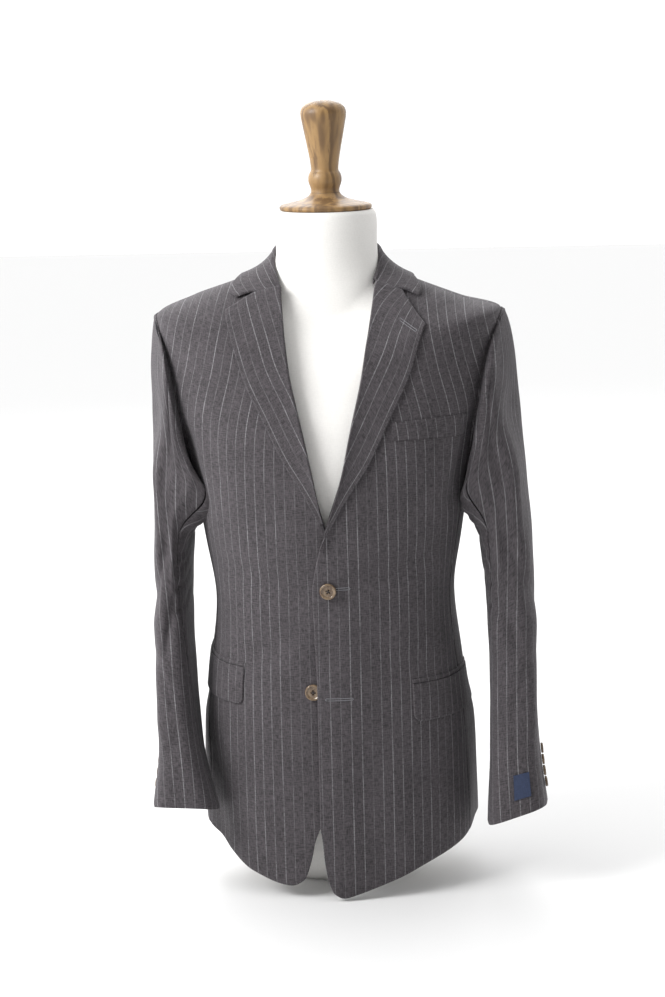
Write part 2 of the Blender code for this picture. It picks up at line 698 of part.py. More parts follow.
def patch(name, place, side, span, thickness, grid, rounded=0.0):
    """A piece that lies on the body between two angles, its bottom corners rounded.

    The span is its lowest and highest edge, measured from the place's level.
    """
    start, end, level, rise = place
    low, high = span
    across, up = np.meshgrid(*(np.linspace(0, 1, count) for count in grid))
    width = math.radians(end - start) * 0.165
    corner = np.clip(1 - np.minimum(across, 1 - across) * width / max(rounded, 1e-6), 0, 1)
    lift = rounded * (1 - np.sqrt(1 - corner**2))
    height = low + lift + (high - low - lift) * up
    angle = side * np.radians(start + (end - start) * across)
    points, normal = worn(angle, level + rise * across + height)
    under = [f"{piece}_{SIDE_NAMES[side]}" for piece in ("front", "side_body")]
    wall(name, laid_on(under, points, normal, LAYER + thickness), normal, thickness=thickness)


def add_pockets():
    for side in (LEFT, RIGHT):
        name, place = SIDE_NAMES[side], FLAPS[side]
        patch(f"pocket_flap_{name}", place, side, (-FLAP_HEIGHT, 0), CLOTH, (12, 5), 0.010)
        patch(f"pocket_jet_{name}", place, side, (SEAM, SEAM + JET_HEIGHT), JET, (12, 2))
    patch("breast_welt", BREAST, LEFT, (0, WELT_HEIGHT), JET, (10, 4))


LABEL = (0.905, 0.950, 48.0, 70.0)  # along the sleeve, then round it


def add_label():
    """A plain woven label tacked to the left cuff."""
    first, last, start, end = LABEL
    turn, along = np.meshgrid(np.radians(np.linspace(start, end, 5)), np.linspace(first, last, 4))
    points, normal = sleeve(LEFT, turn, along)
    wall("cuff_label", laid_on(["sleeve_upper_left"], points, normal, LAYER + 0.001), normal, NAVY, 0.001)


def button_profile(size):
    """A sew-through button's section: a raised rim round a shallow well, flat underneath."""
    half, thick = size[0] / 2, size[1]
    return (
        (0, thick * 0.66),
        (half * 0.60, thick * 0.66),
        (half * 0.74, thick),
        (half * 0.92, thick * 0.86),
        (half, thick * 0.45),
        (half * 0.90, 0),
        (0, 0),
    )


def add_button(name, size, points, normals, under):
    """A button whose flat underside stands clear of the piece under it, by a little at its rim."""
    obj = turned(name, button_profile(size), 20 if size is FRONT_BUTTON else 12, HORN, 0.3)
    point = laid_on([under], points, normals, BUTTON_GAP)[0]
    turn = Vector(normals[0]).to_track_quat("Z", "Y")
    obj.matrix_world = Matrix.Translation(Vector(point)) @ turn.to_matrix().to_4x4()


TOP_BUTTON = (0.0011, 0.3943)  # distance towards the wearer's left, level
LOW_BUTTON = (0.0200, 0.2673)  # on the wearer's right front, towards that side
CUFF_BUTTONS = 4
BUTTON_GAP = 0.0010


def add_buttons():
    offset, level = (np.array([value]) for value in TOP_BUTTON)
    add_button("button_top", FRONT_BUTTON, *worn(angle_at(offset, level), level), "front_left")
    offset, level = (np.array([value]) for value in LOW_BUTTON)
    add_button("button_low", FRONT_BUTTON, *worn(RIGHT * angle_at(offset, level), level), "front_right")
    for side in (LEFT, RIGHT):
        for i in range(CUFF_BUTTONS):
            along = np.array([0.955 - 0.0215 * i])
            turn = np.radians(SLEEVES[side]("hind_seam", along)) + 0.20
            name = f"cuff_button_{SIDE_NAMES[side]}_{i + 1}"
            add_button(name, CUFF_BUTTON, *sleeve(side, turn, along), f"sleeve_upper_{SIDE_NAMES[side]}")


# Dress form --------------------------------------------------------------------------------

# Rings of the foot, which is drawn in under the hem, and of the neck: height, and reach to the
# side, the front and the back
FORM_REACH = "height half_width front_depth back_depth"
FORM_FOOT = Table(
    FORM_REACH,
    (0.000, 0.0840, 0.0680, 0.0800),
    (0.008, 0.0920, 0.0750, 0.0870),
    (0.035, 0.1130, 0.0930, 0.1000),
    (0.070, 0.1380, 0.1120, 0.1140),
)
FORM_LEVELS = (0.12, 0.19, 0.27, 0.35, 0.43, 0.51, 0.58, 0.64, 0.68, 0.704, 0.725, 0.76, 0.80)
FORM_NECK = Table(
    FORM_REACH,
    (0.788, 0.0625, 0.0560, 0.0565),
    (0.806, 0.0620, 0.0570, 0.0570),
    (0.826, 0.0625, 0.0590, 0.0590),
    (0.837, 0.0615, 0.0595, 0.0595),
    (NECK_TOP, 0.0580, 0.0580, 0.0580),
)
NECK_ROOT = 0.86  # the neck's root, as a share of the jacket's neck seam


def form_rings(sizes, angle, power):
    """The rings of one of the form's tables. Their power is 2 for an ellipse."""
    sine, cosine = np.sin(angle), np.cos(angle)
    rings = []
    for height, across, front, back in sizes.rows:
        depth = np.where(cosine > 0, front, back)
        reach = (np.abs(sine / across) ** power + np.abs(cosine / depth) ** power) ** (-1 / power)
        rings.append(np.stack([reach * sine, -reach * cosine, np.full_like(angle, height)], -1))
    return rings


def add_form():
    """The torso follows the jacket's rings a finger's width inside, and runs on into the neck."""
    angle = np.radians(np.arange(0, 360, 12.0))
    inside = [
        body(angle, np.full_like(angle, level)) - outward(angle, np.full_like(angle, level)) * FORM_INSET
        for level in FORM_LEVELS
    ]
    root = body(angle, np.full_like(angle, NECK)) * np.array([NECK_ROOT, NECK_ROOT, 1])
    foot, neck = form_rings(FORM_FOOT, angle, 2.4), form_rings(FORM_NECK, angle, 2)
    closed_loft("form_torso", np.array([*foot, *inside, root, *neck]), COVER)


CAP_PROFILE = (
    (0, 0.0205),
    (0.0180, 0.0205),
    (0.0196, 0.0175),
    (0.0270, 0.0128),
    (0.0390, 0.0098),
    (0.0510, 0.0074),
    (0.0560, 0.0056),
    (0.0568, 0.0032),
    (0.0560, 0.0008),
    (0.0548, 0),
    (0, 0),
)
FINIAL_PROFILE = (
    (0, 0.1110),
    (0.0100, 0.1103),
    (0.0190, 0.1078),
    (0.0255, 0.1035),
    (0.0280, 0.0980),
    (0.0278, 0.0920),
    (0.0262, 0.0840),
    (0.0236, 0.0700),
    (0.0208, 0.0560),
    (0.0182, 0.0420),
    (0.0168, 0.0310),
    (0.0168, 0.0262),
    (0.0192, 0.0232),
    (0.0206, 0.0180),
    (0.0204, 0.0130),
    (0.0186, 0.0080),
    (0.0172, 0.0040),
    (0.0176, 0),
    (0, 0),
)


def add_neck_cap():
    cap = turned("neck_cap", CAP_PROFILE, 28, WALNUT, 0.35)
    cap.location.z = NECK_TOP + SEAM
    finial = turned("finial", FINIAL_PROFILE, 20, WALNUT, 0.35)
    finial.location.z = cap.location.z + CAP_PROFILE[0][1] + SEAM


def main():
    for obj in list(bpy.data.objects):
        bpy.data.objects.remove(obj)
    bpy.context.scene.collection.children.link(bpy.data.collections.new(NAME))
    add_form()
    add_neck_cap()
    for side in (LEFT, RIGHT):
        add_front(side)
        add_side_body(side)
        add_back(side)
        add_lapel(side)
        add_sleeve(side)
    add_collar()
    add_pockets()
    add_label()
    add_buttons()


main()
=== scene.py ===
"""A worn two-button suit jacket on a limbless dress form, dressed for rendering.

Every cloth piece is sampled from one worn surface, which is a stack of rings round the torso.
"level" runs up it from the hem to the neck seam, and "angle" runs round it from the centre front
(0) past the wearer's left side (a quarter turn) to the centre back. Metres, +Z up. The jacket
faces -Y and the wearer's left is +X.
"""

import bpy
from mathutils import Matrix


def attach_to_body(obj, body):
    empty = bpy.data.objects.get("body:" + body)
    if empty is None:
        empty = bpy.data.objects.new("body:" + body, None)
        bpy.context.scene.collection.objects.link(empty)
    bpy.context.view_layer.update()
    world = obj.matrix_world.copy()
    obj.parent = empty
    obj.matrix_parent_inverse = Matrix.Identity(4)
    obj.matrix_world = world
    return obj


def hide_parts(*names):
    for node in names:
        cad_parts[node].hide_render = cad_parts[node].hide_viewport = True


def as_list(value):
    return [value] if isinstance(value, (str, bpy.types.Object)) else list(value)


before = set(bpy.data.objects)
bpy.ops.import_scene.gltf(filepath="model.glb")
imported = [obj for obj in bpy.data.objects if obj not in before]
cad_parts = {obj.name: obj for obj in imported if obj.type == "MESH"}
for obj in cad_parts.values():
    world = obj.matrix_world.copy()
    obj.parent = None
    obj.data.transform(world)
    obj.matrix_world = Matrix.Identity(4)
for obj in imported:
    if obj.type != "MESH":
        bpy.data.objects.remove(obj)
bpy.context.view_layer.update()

import logging
import math
from dataclasses import dataclass, field
from enum import Enum, IntEnum
from functools import cache

import bpy
import numpy as np
from mathutils import Matrix, Vector

Array = np.ndarray
Arrays = tuple[Array, Array]
Material = bpy.types.Material
Node = bpy.types.Node
Pair = tuple[float, float]
Piece = bpy.types.Object
Socket = bpy.types.NodeSocket
Triple = tuple[float, float, float]

LOG = logging.getLogger("suit_jacket")
BODY = "root"
UV_NAME = "cloth"

CLOTH = 0.0022  # thickness of a jacket wall
SEAM = 0.0003  # gap between pieces that are sewn edge to edge
LAYER = 0.001  # gap under a piece that lies on another
STRIPE_PITCH = 0.0124
STRIPE_START = 0.0011  # the stripe that the front buttons sit on


class Side(IntEnum):
    """A side of the wearer, as the sign of X."""

    LEFT = 1
    RIGHT = -1

    @property
    def word(self) -> str:
        """The side's name as node names have it."""
        return self.name.lower()


class Border(Enum):
    """How the border of a cloth piece is worked: how deep its outer face dips, and over what width."""

    SEWN = (0.0007, 0.0026)
    PRESSED = (0.0013, 0.0019)
    CREASED = (0.0012, 0.0016)
    RAW = (0.0, 0.001)


SEWN, PRESSED, CREASED, RAW = Border


class Edge(Enum):
    """A border of a sheet's grid."""

    FIRST = "first column"
    LAST = "last column"
    BOTTOM = "first row"
    TOP = "last row"


class SleevePiece(Enum):
    """One of a sleeve's two pieces, as node names have it."""

    UPPER = "upper"
    UNDER = "under"


# --- Numbers and grids ---


def smoothstep(value: Array | float) -> Array:
    """A smooth ramp from 0 at 0 to 1 at 1."""
    t = np.clip(value, 0, 1)
    return t * t * (3 - 2 * t)


@dataclass(frozen=True)
class Ramp:
    """A smooth ramp from 0 at its start to 1 at its end. A negative width makes it fall instead."""

    start: float
    width: float

    def at(self, value: Array | float) -> Array:
        """The ramp's height at a value."""
        return smoothstep((value - self.start) / self.width)


def unit(vectors: Array) -> Array:
    """The vectors at length 1."""
    return vectors / np.maximum(np.linalg.norm(vectors, axis=-1, keepdims=True), 1e-12)


def eased(count: int, ease: float = 0.6) -> Array:
    """Shares from 0 to 1 that lie closer together near both ends."""
    t = np.linspace(0, 1, count)
    return (1 - ease) * t + ease * (1 - np.cos(math.pi * t)) / 2


def chords(points: Array, axis: int) -> Array:
    """Length along a grid of points from its first row or column, as the sum of the chords."""
    steps = np.linalg.norm(np.diff(points, axis=axis), axis=-1)
    return np.insert(np.cumsum(steps, axis=axis), 0, 0, axis=axis)


def grid_normals(points: Array, towards: Array) -> Array:
    """Unit normals of a grid, by crossing its two directions, on the side of the vectors towards."""
    normal = unit(np.cross(np.gradient(points, axis=1), np.gradient(points, axis=0)))
    return normal * (np.sign(np.sum(normal * towards)) or 1.0)


@dataclass(frozen=True)
class Table:
    """Sizes under named columns, read between the rows along a curve with no overshoot."""

    columns: str
    rows: tuple[tuple[float, ...], ...]

    def read(self, name: str, place: Array | float) -> Array:
        """The size in one column.

        Args:
            name: The column.
            place: Where to read, in the units of the first column.

        Returns:
            A cubic between the two rows round each place, whose slopes are harmonic means.
        """
        rows = np.array(self.rows, float)
        x, y = rows[:, 0], rows[:, self.columns.split().index(name)]
        rise = np.diff(y) / np.diff(x)
        with np.errstate(divide="ignore", invalid="ignore"):
            between = 2 / (1 / rise[:-1] + 1 / rise[1:])
        between = np.where(rise[:-1] * rise[1:] > 0, between, 0)
        slope = np.concatenate([rise[:1], between, rise[-1:]])
        place = np.clip(place, x[0], x[-1])
        i = np.clip(np.searchsorted(x, place) - 1, 0, len(x) - 2)
        span = x[i + 1] - x[i]
        t = (place - x[i]) / span
        start = y[i] * (1 + 2 * t) * (1 - t) ** 2 + slope[i] * span * t * (1 - t) ** 2
        return start + y[i + 1] * t * t * (3 - 2 * t) - slope[i + 1] * span * t * t * (1 - t)


@dataclass(frozen=True)
class Fold:
    """A soft trough (height below 0) or ridge along a line on a surface."""

    start: Pair
    end: Pair
    half: float
    height: float
    fade: float = 0.15  # share of the line that each end fades over

    def lift(self, across: Array, along: Array, line: Pair) -> Array:
        """Reads the fold's height.

        Args:
            across: Distance from the line's start, along the first direction.
            along: The same, along the second direction.
            line: The line itself, in both directions.

        Returns:
            A bell across the line, faded at its ends.
        """
        length = math.hypot(*line)
        way = (line[0] / length, line[1] / length)
        run = (across * way[0] + along * way[1]) / length
        away = (across * way[1] - along * way[0]) / self.half
        past = (run - np.clip(run, self.fade, 1 - self.fade)) * length / (1.5 * self.half)
        return self.height * np.exp(-(away**2) - past**2)


# --- Meshes ---


def outward_faces(points: Array, faces: Array) -> Array:
    """Turns the faces of a closed shell outwards.

    Args:
        points: Its points.
        faces: Its faces.

    Returns:
        The faces, turned round if they enclose a negative volume.
    """
    corner = points[faces]
    cross = np.cross(corner[:, 1] - corner[:, 0], corner[:, 2] - corner[:, 0])
    cross += np.cross(corner[:, 2] - corner[:, 0], corner[:, 3] - corner[:, 0])
    volume = np.sum(corner.mean(axis=1) * cross)
    return faces if volume > 0 else faces[:, ::-1]


def make_piece(
    name: str,
    points: Array,
    faces: Array,
    finishes: list["Finish"],
    uv: Array | None = None,
    inner: Array | None = None,
    sharp: float = 50.0,
) -> Piece:
    """Puts points and four-cornered faces into a new object of the scene.

    Args:
        name: The object's name.
        points: Points by coordinates.
        faces: Faces by their four points.
        finishes: Its finishes, the outer one first.
        uv: A pair of pattern coordinates a point.
        inner: Whether each face takes the second finish.
        sharp: Degrees past which an edge shades sharp.

    Returns:
        The object.
    """
    mesh = bpy.data.meshes.new(name)
    mesh.vertices.add(len(points))
    mesh.vertices.foreach_set("co", points.astype(np.float32).ravel())
    mesh.loops.add(faces.size)
    mesh.loops.foreach_set("vertex_index", faces.astype(np.int32).ravel())
    mesh.polygons.add(len(faces))
    mesh.polygons.foreach_set("loop_start", np.arange(0, faces.size, 4, dtype=np.int32))
    mesh.polygons.foreach_set("loop_total", np.full(len(faces), 4, np.int32))
    for finish in finishes:
        mesh.materials.append(finish.material())
    if inner is not None:
        mesh.polygons.foreach_set("material_index", inner.astype(np.int32))
    mesh.update(calc_edges=True)
    if uv is not None:
        layer = mesh.uv_layers.new(name=UV_NAME)
        layer.data.foreach_set("uv", uv[faces.ravel()].astype(np.float32).ravel())
    mesh.validate()
    mesh.shade_smooth()
    mesh.set_sharp_from_angle(angle=math.radians(sharp))
    obj = bpy.data.objects.new(name, mesh)
    bpy.context.scene.collection.objects.link(obj)
    return obj


def grid_faces(rows: int, columns: int) -> Array:
    """Four-cornered faces of a grid whose points run along its rows."""
    index = np.arange(rows * columns).reshape(rows, columns)
    return np.stack([index[:-1, :-1], index[:-1, 1:], index[1:, 1:], index[1:, :-1]], -1).reshape(-1, 4)


def closed_grid(rings: Array) -> Arrays:
    """Closes a shell through rings, with quads at both ends that fold the ring shut.

    Args:
        rings: Rings by an even number of points.

    Returns:
        The points and the faces.
    """
    count, around = rings.shape[:2]
    index = np.arange(count * around).reshape(count, around)
    following = np.roll(index, -1, axis=1)
    sides = np.stack([index[:-1], following[:-1], following[1:], index[1:]], -1).reshape(-1, 4)
    i = np.arange(around // 2 - 1)
    strip = np.stack([i, i + 1, around - 2 - i, around - 1 - i], -1)
    ends = np.concatenate([index[0][strip[:, ::-1]], index[-1][strip]])
    faces = np.concatenate([sides, ends])
    points = rings.reshape(-1, 3)
    return points, outward_faces(points, faces)


def join(parts: list[Arrays]) -> Arrays:
    """Several shells as one set of points and faces."""
    starts = np.cumsum([0] + [len(points) for points, _ in parts[:-1]])
    return np.concatenate([p for p, _ in parts]), np.concatenate([f + n for (_, f), n in zip(parts, starts)])


def tube(path: Array, normal: Array, half: float, around: int = 8) -> Arrays:
    """A round thread along a path. Each ring lies across the path's own direction.

    Args:
        path: Its middle line.
        normal: The side that counts as up.
        half: Half its width.
        around: Points in a ring.

    Returns:
        The points and the faces.
    """
    forward = unit(np.gradient(path, axis=0))
    aside = unit(np.cross(forward, normal))
    up = np.cross(aside, forward)
    turn = np.linspace(0, 2 * math.pi, around, endpoint=False)[None, :, None]
    taper = np.minimum(1, 0.25 + np.minimum(np.arange(len(path)), np.arange(len(path))[::-1]))
    reach = half * taper[:, None, None]
    rings = path[:, None] + reach * (np.cos(turn) * aside[:, None] + np.sin(turn) * up[:, None])
    return closed_grid(rings)


@dataclass
class Sheet:
    """One cloth piece: a closed wall on a grid of points, with its cut."""

    name: str
    outer: Array
    normal: Array
    uv: Array
    borders: tuple[Border, Border, Border, Border]  # first and last column, first and last row
    thickness: float = CLOTH
    deepest: float = 0.62  # share of the thickness that a border may dip
    piece: Piece | None = None

    def dipped(self) -> Array:
        """Lets the outer face down towards its borders.

        At a sewn border the dip is a bell. At a pressed one it is a quarter of a round.

        Returns:
            The outer face's points.
        """
        across, along = chords(self.outer, 1), chords(self.outer, 0)
        away = (across, across[:, -1:] - across, along, along[-1:] - along)
        total = np.zeros(self.outer.shape[:2])
        for border, distance in zip(self.borders, away):
            depth, reach = border.value
            if border is PRESSED:
                close = np.clip(1 - distance / reach, 0, 1)
                total = np.maximum(total, depth * (1 - np.sqrt(1 - close**2)))
            else:
                total = np.maximum(total, depth * np.exp(-((distance / reach) ** 2)))
        return self.outer - self.normal * np.minimum(total, self.deepest * self.thickness)[..., None]

    def build(self, cloth: "Finish", lining: "Finish | None" = None) -> Piece:
        """Makes the wall.

        Args:
            cloth: Its finish.
            lining: The inner face's finish, if it is another.

        Returns:
            The dipped outer face, the inner face and the rim between them.
        """
        rows, columns = self.outer.shape[:2]
        count = rows * columns
        back = self.outer - self.normal * self.thickness
        points = np.concatenate([self.dipped().reshape(-1, 3), back.reshape(-1, 3)])
        front = grid_faces(rows, columns)
        index = np.arange(count).reshape(rows, columns)
        rim = np.concatenate([index[0, :-1], index[:-1, -1], index[-1, :0:-1], index[:0:-1, 0]])
        after = np.roll(rim, -1)
        sides = np.stack([rim, rim + count, after + count, after], -1)
        faces = outward_faces(points, np.concatenate([front, front[:, ::-1] + count, sides]))
        inner = np.zeros(len(faces), int)
        if lining is not None:
            inner[len(front) : 2 * len(front)] = 1
        uv = np.tile(self.uv.reshape(-1, 2), (2, 1))
        finishes = [cloth] if lining is None else [cloth, lining]
        self.piece = make_piece(f"{self.name}_cloth", points, faces, finishes, uv, inner)
        return self.piece

    def cut(self) -> Triple:
        """Measures the piece laid flat.

        Returns:
            Its width, length and area.
        """
        width = float(chords(self.outer, 1)[:, -1].max())
        length = float(chords(self.outer, 0)[-1].max())
        points = self.outer.reshape(-1, 3)[grid_faces(*self.outer.shape[:2])]
        cross = np.cross(points[:, 2] - points[:, 0], points[:, 3] - points[:, 1])
        area = float(np.linalg.norm(cross, axis=1).sum() / 2)
        return width, length, min(area, width * length)

    def declare(self, held: str, rests_on: list[str], with_pieces: list[Piece]) -> None:
        """Says what was cut.

        Args:
            held: Not used.
            rests_on: Not used.
            with_pieces: The pieces that go with it.
        """
        width, length, area = self.cut()
        flat = (round(width, 4), max(round(length, 4), 0.01))  # a jet's hidden edge is turned in
        area = min(round(area, 5), flat[0] * flat[1])
        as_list(with_pieces)
        LOG.info("sheet %s: %.0f x %.0f mm, %.4f m2", self.name, flat[0] * 1e3, flat[1] * 1e3, area)


def attach(piece: Piece, slot: str, *nodes: str) -> Piece:
    """Fixes a piece to the jacket's one body.

    Args:
        piece: The piece.
        slot: Not used.
        nodes: The nodes that it stands for.

    Returns:
        The piece.
    """
    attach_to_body(piece, BODY)
    if nodes:
        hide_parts(*nodes)
    LOG.info("piece %s: %d faces", piece.name, len(piece.data.polygons))
    return piece


def dress(sheets: list[Sheet], cloth: "Finish", lining: "Finish | None" = None) -> dict[str, Sheet]:
    """Builds sheets in one cloth and attaches them.

    Args:
        sheets: The sheets.
        cloth: Their finish.
        lining: The finish of their inner faces, if it is another.

    Returns:
        The sheets by name.
    """
    for sheet in sheets:
        attach(sheet.build(cloth, lining), "wool", sheet.name)
    return {sheet.name: sheet for sheet in sheets}


# --- Finishes ---


class Shader:
    """A material's node tree, with short calls for the nodes that the finishes use."""

    def __init__(self, tree: bpy.types.NodeTree) -> None:
        """Keeps the tree to build in."""
        self.tree = tree

    def node(self, kind: str, inputs: dict | None = None, **settings: object) -> Node:
        """Adds a node.

        Args:
            kind: Its type.
            inputs: A number, colour or socket for each of its inputs, by name or by place.
            settings: Its properties.

        Returns:
            The node.
        """
        node = self.tree.nodes.new(kind)
        for name, value in settings.items():
            setattr(node, name, value)
        for name, value in (inputs or {}).items():
            self.feed(node.inputs[name], value)
        return node

    def feed(self, socket: Socket, value: object) -> None:
        """Sets an input or links it.

        Args:
            socket: The input.
            value: A number, a colour, or the socket to link it to.
        """
        if isinstance(value, Socket):
            self.tree.links.new(value, socket)
        elif isinstance(value, tuple) and len(value) == 3 and socket.type == "RGBA":
            socket.default_value = (*value, 1.0)
        else:
            socket.default_value = value

    def math(self, operation: str, *values: object) -> Socket:
        """The result of one sum on numbers or sockets."""
        return self.node("ShaderNodeMath", dict(enumerate(values)), operation=operation).outputs[0]

    def ramp(self, value: object, low: float, high: float, start: float, end: float) -> Socket:
        """A smooth ramp from start to end while the value goes from low to high."""
        inputs = {"Value": value, "From Min": low, "From Max": high, "To Min": start, "To Max": end}
        return self.node("ShaderNodeMapRange", inputs, interpolation_type="SMOOTHSTEP").outputs[0]

    def mix(self, share: object, first: object, second: object) -> Socket:
        """Mixes two colours.

        Args:
            share: The second colour's share.
            first: One colour.
            second: The other.

        Returns:
            The mixed colour.
        """
        node = self.node("ShaderNodeMix", {0: share}, data_type="RGBA")
        colours = [socket for socket in node.inputs if socket.type == "RGBA"]
        self.feed(colours[0], first)
        self.feed(colours[1], second)
        return [socket for socket in node.outputs if socket.type == "RGBA"][0]

    def noise(self, vector: object, scale: float, detail: float = 2.0, rough: float = 0.5) -> Socket:
        """Soft noise from 0 to 1."""
        inputs = {"Vector": vector, "Scale": scale, "Detail": detail, "Roughness": rough}
        return self.node("ShaderNodeTexNoise", inputs).outputs[0]

    def streaks(self, place: object, scales: tuple, detail: float = 2.0, rough: float = 0.5) -> Socket:
        """Noise with its own scale along each axis."""
        place = self.node("ShaderNodeMapping", {"Vector": place, "Scale": scales}).outputs[0]
        return self.noise(place, 1.0, detail, rough)

    def bump(self, height: object, distance: float) -> Socket:
        """A normal bent by a height."""
        return self.node("ShaderNodeBump", {"Height": height, "Distance": distance}).outputs[0]


def weave_group() -> bpy.types.NodeTree:
    """A weave shared by the cloths: warp floats and weft floats as two crossed waves.

    Its inputs are coordinates along the cloth in metres and the thread's pitch. Height is high
    where a warp thread passes over, and Fleck is slow noise along the warp and across it.

    Returns:
        The node group.
    """
    tree = bpy.data.node_groups.new("Weave", "ShaderNodeTree")
    tree.interface.new_socket("Vector", in_out="INPUT", socket_type="NodeSocketVector")
    pitch = tree.interface.new_socket("Pitch", in_out="INPUT", socket_type="NodeSocketFloat")
    pitch.default_value = 0.0008
    tree.interface.new_socket("Height", in_out="OUTPUT", socket_type="NodeSocketFloat")
    tree.interface.new_socket("Fleck", in_out="OUTPUT", socket_type="NodeSocketFloat")
    shader = Shader(tree)
    place, pitch = shader.node("NodeGroupInput").outputs[:2]
    x, y = shader.node("ShaderNodeSeparateXYZ", {0: place}).outputs[:2]
    turns = shader.math("DIVIDE", 2 * math.pi, pitch)
    twill = shader.math("SINE", shader.math("MULTIPLY", shader.math("ADD", x, y), turns))
    warp = shader.math("COSINE", shader.math("MULTIPLY", x, turns))
    both = shader.math("MULTIPLY_ADD", twill, 0.3, 0.5)
    height = shader.math("MULTIPLY_ADD", warp, 0.2, both)
    along, across = shader.streaks(place, (760.0, 150.0, 1.0)), shader.streaks(place, (140.0, 700.0, 1.0))
    fleck = shader.math("MULTIPLY", shader.math("ADD", along, across), 0.5)
    shader.node("NodeGroupOutput", {"Height": height, "Fleck": fleck})
    return tree


@dataclass(frozen=True)
class Finish:
    """A finish with one colour: what every finish has."""

    name: str
    colour: Triple
    roughness: float
    sheen: float = 0.0
    coat: float = 0.0

    def build(self) -> Material:
        """Makes the material.

        Returns:
            A new one, with its constants and what the finish feeds on the shader's own sockets.
        """
        material = bpy.data.materials.new(self.name)
        material.use_nodes = True
        sockets = material.node_tree.nodes["Principled BSDF"].inputs
        sockets["Base Color"].default_value = (*self.colour, 1.0)
        sockets["Roughness"].default_value = self.roughness
        if self.sheen:
            sockets["Sheen Weight"].default_value = self.sheen
            sockets["Sheen Roughness"].default_value = 0.5
            sockets["Sheen Tint"].default_value = (0.8, 0.78, 0.82, 1.0)
        if self.coat:
            sockets["Coat Weight"].default_value = self.coat
            sockets["Coat Roughness"].default_value = 0.12
        shader = Shader(material.node_tree)
        for name, value in self.feeds(shader).items():
            shader.feed(sockets[name], value)
        return material

    def feeds(self, shader: Shader) -> dict[str, Socket]:
        """What the finish feeds to the shader's sockets by name: nothing but its constants."""
        return {}

    @cache
    def material(self) -> Material:
        """The material, built the first time that it is asked for."""
        return self.build()


@dataclass(frozen=True)
class WovenFinish(Finish):
    """A cloth: flecked yarn in a weave, with a few shades of difference over a large area."""

    pitch: float = 0.0009
    fleck: float = 0.62  # how far the yarn's shade goes either way
    height: float = 0.00012
    fade_scale: float = 26.0  # of the broad fading
    fade: float = 0.14

    def weave(self, shader: Shader) -> tuple[Socket, Node]:
        """Starts the cloth.

        Args:
            shader: The tree to build in.

        Returns:
            The cloth's own coordinates and its weave.
        """
        place = shader.node("ShaderNodeUVMap", uv_map=UV_NAME).outputs[0]
        tree = bpy.data.node_groups.get("Weave") or weave_group()
        inputs = {"Vector": place, "Pitch": self.pitch}
        return place, shader.node("ShaderNodeGroup", inputs, node_tree=tree)

    def yarn(self, shader: Shader, place: Socket, weave: Node) -> Socket:
        """Colours the yarn.

        Args:
            shader: The tree to build in.
            place: The cloth's own coordinates.
            weave: Its weave.

        Returns:
            Darker and lighter flecks, and broad uneven fading.
        """
        dark, light = (tuple(c * (1 + way * self.fleck) for c in self.colour) for way in (-1, 1))
        broad = shader.noise(place, self.fade_scale, 3.0)
        fading = shader.math("MULTIPLY_ADD", broad, self.fade, -self.fade / 2)
        share = shader.math("ADD", weave.outputs["Fleck"], fading)
        return shader.mix(shader.ramp(share, 0.28, 0.72, 0.0, 1.0), dark, light)

    def feeds(self, shader: Shader) -> dict[str, Socket]:
        """Colours the yarn and raises the weave.

        Args:
            shader: The tree to build in.

        Returns:
            What is fed to the shader's sockets.
        """
        place, weave = self.weave(shader)
        bump = shader.bump(weave.outputs["Height"], self.height)
        return {"Base Color": self.yarn(shader, place, weave), "Normal": bump}


@dataclass(frozen=True)
class StripedFinish(WovenFinish):
    """A worsted with pale pin stripes along its warp."""

    stripe: Triple = (0.24, 0.235, 0.245)
    width: float = 0.0011
    shift: float = 0.0
    edge: Pair = (0.45, 1.5)  # where a stripe starts and ends to fade, in half widths
    weakest: float = 0.36  # strength of the palest stripe
    worn_scale: Triple = (90.0, 420.0, 1.0)  # of the fine breaks, and then of the slow ones
    slow_scale: Triple = (80.0, 17.0, 1.0)

    def feeds(self, shader: Shader) -> dict[str, Socket]:
        """Draws the stripes: each has its own strength, and is broken by the weft's noise.

        Args:
            shader: The tree to build in.

        Returns:
            What is fed to the shader's sockets.
        """
        place, weave = self.weave(shader)
        across = shader.node("ShaderNodeSeparateXYZ", {0: place}).outputs[0]
        moved = shader.math("SUBTRACT", across, STRIPE_START + self.shift)
        count = shader.math("ADD", shader.math("DIVIDE", moved, STRIPE_PITCH), 0.5)
        which = shader.math("FLOOR", count)
        off = shader.math("ABSOLUTE", shader.math("SUBTRACT", shader.math("FRACT", count), 0.5))
        half = self.width / 2 / STRIPE_PITCH
        line = shader.ramp(off, half * self.edge[0], half * self.edge[1], 1.0, 0.0)
        chance = shader.node("ShaderNodeTexWhiteNoise", {"W": which}, noise_dimensions="1D").outputs[0]
        own = shader.ramp(chance, 0.0, 1.0, self.weakest, 1.0)
        worn = shader.ramp(shader.streaks(place, self.worn_scale, 3.0), 0.3, 0.62, 0.35, 1.0)
        slow = shader.ramp(shader.streaks(place, self.slow_scale), 0.34, 0.6, 0.45, 1.0)
        broken = shader.math("MULTIPLY", worn, slow)
        strength = shader.math("MULTIPLY", line, shader.math("MULTIPLY", own, broken))
        colour = shader.mix(strength, self.yarn(shader, place, weave), self.stripe)
        return {"Base Color": colour, "Normal": shader.bump(weave.outputs["Height"], self.height)}


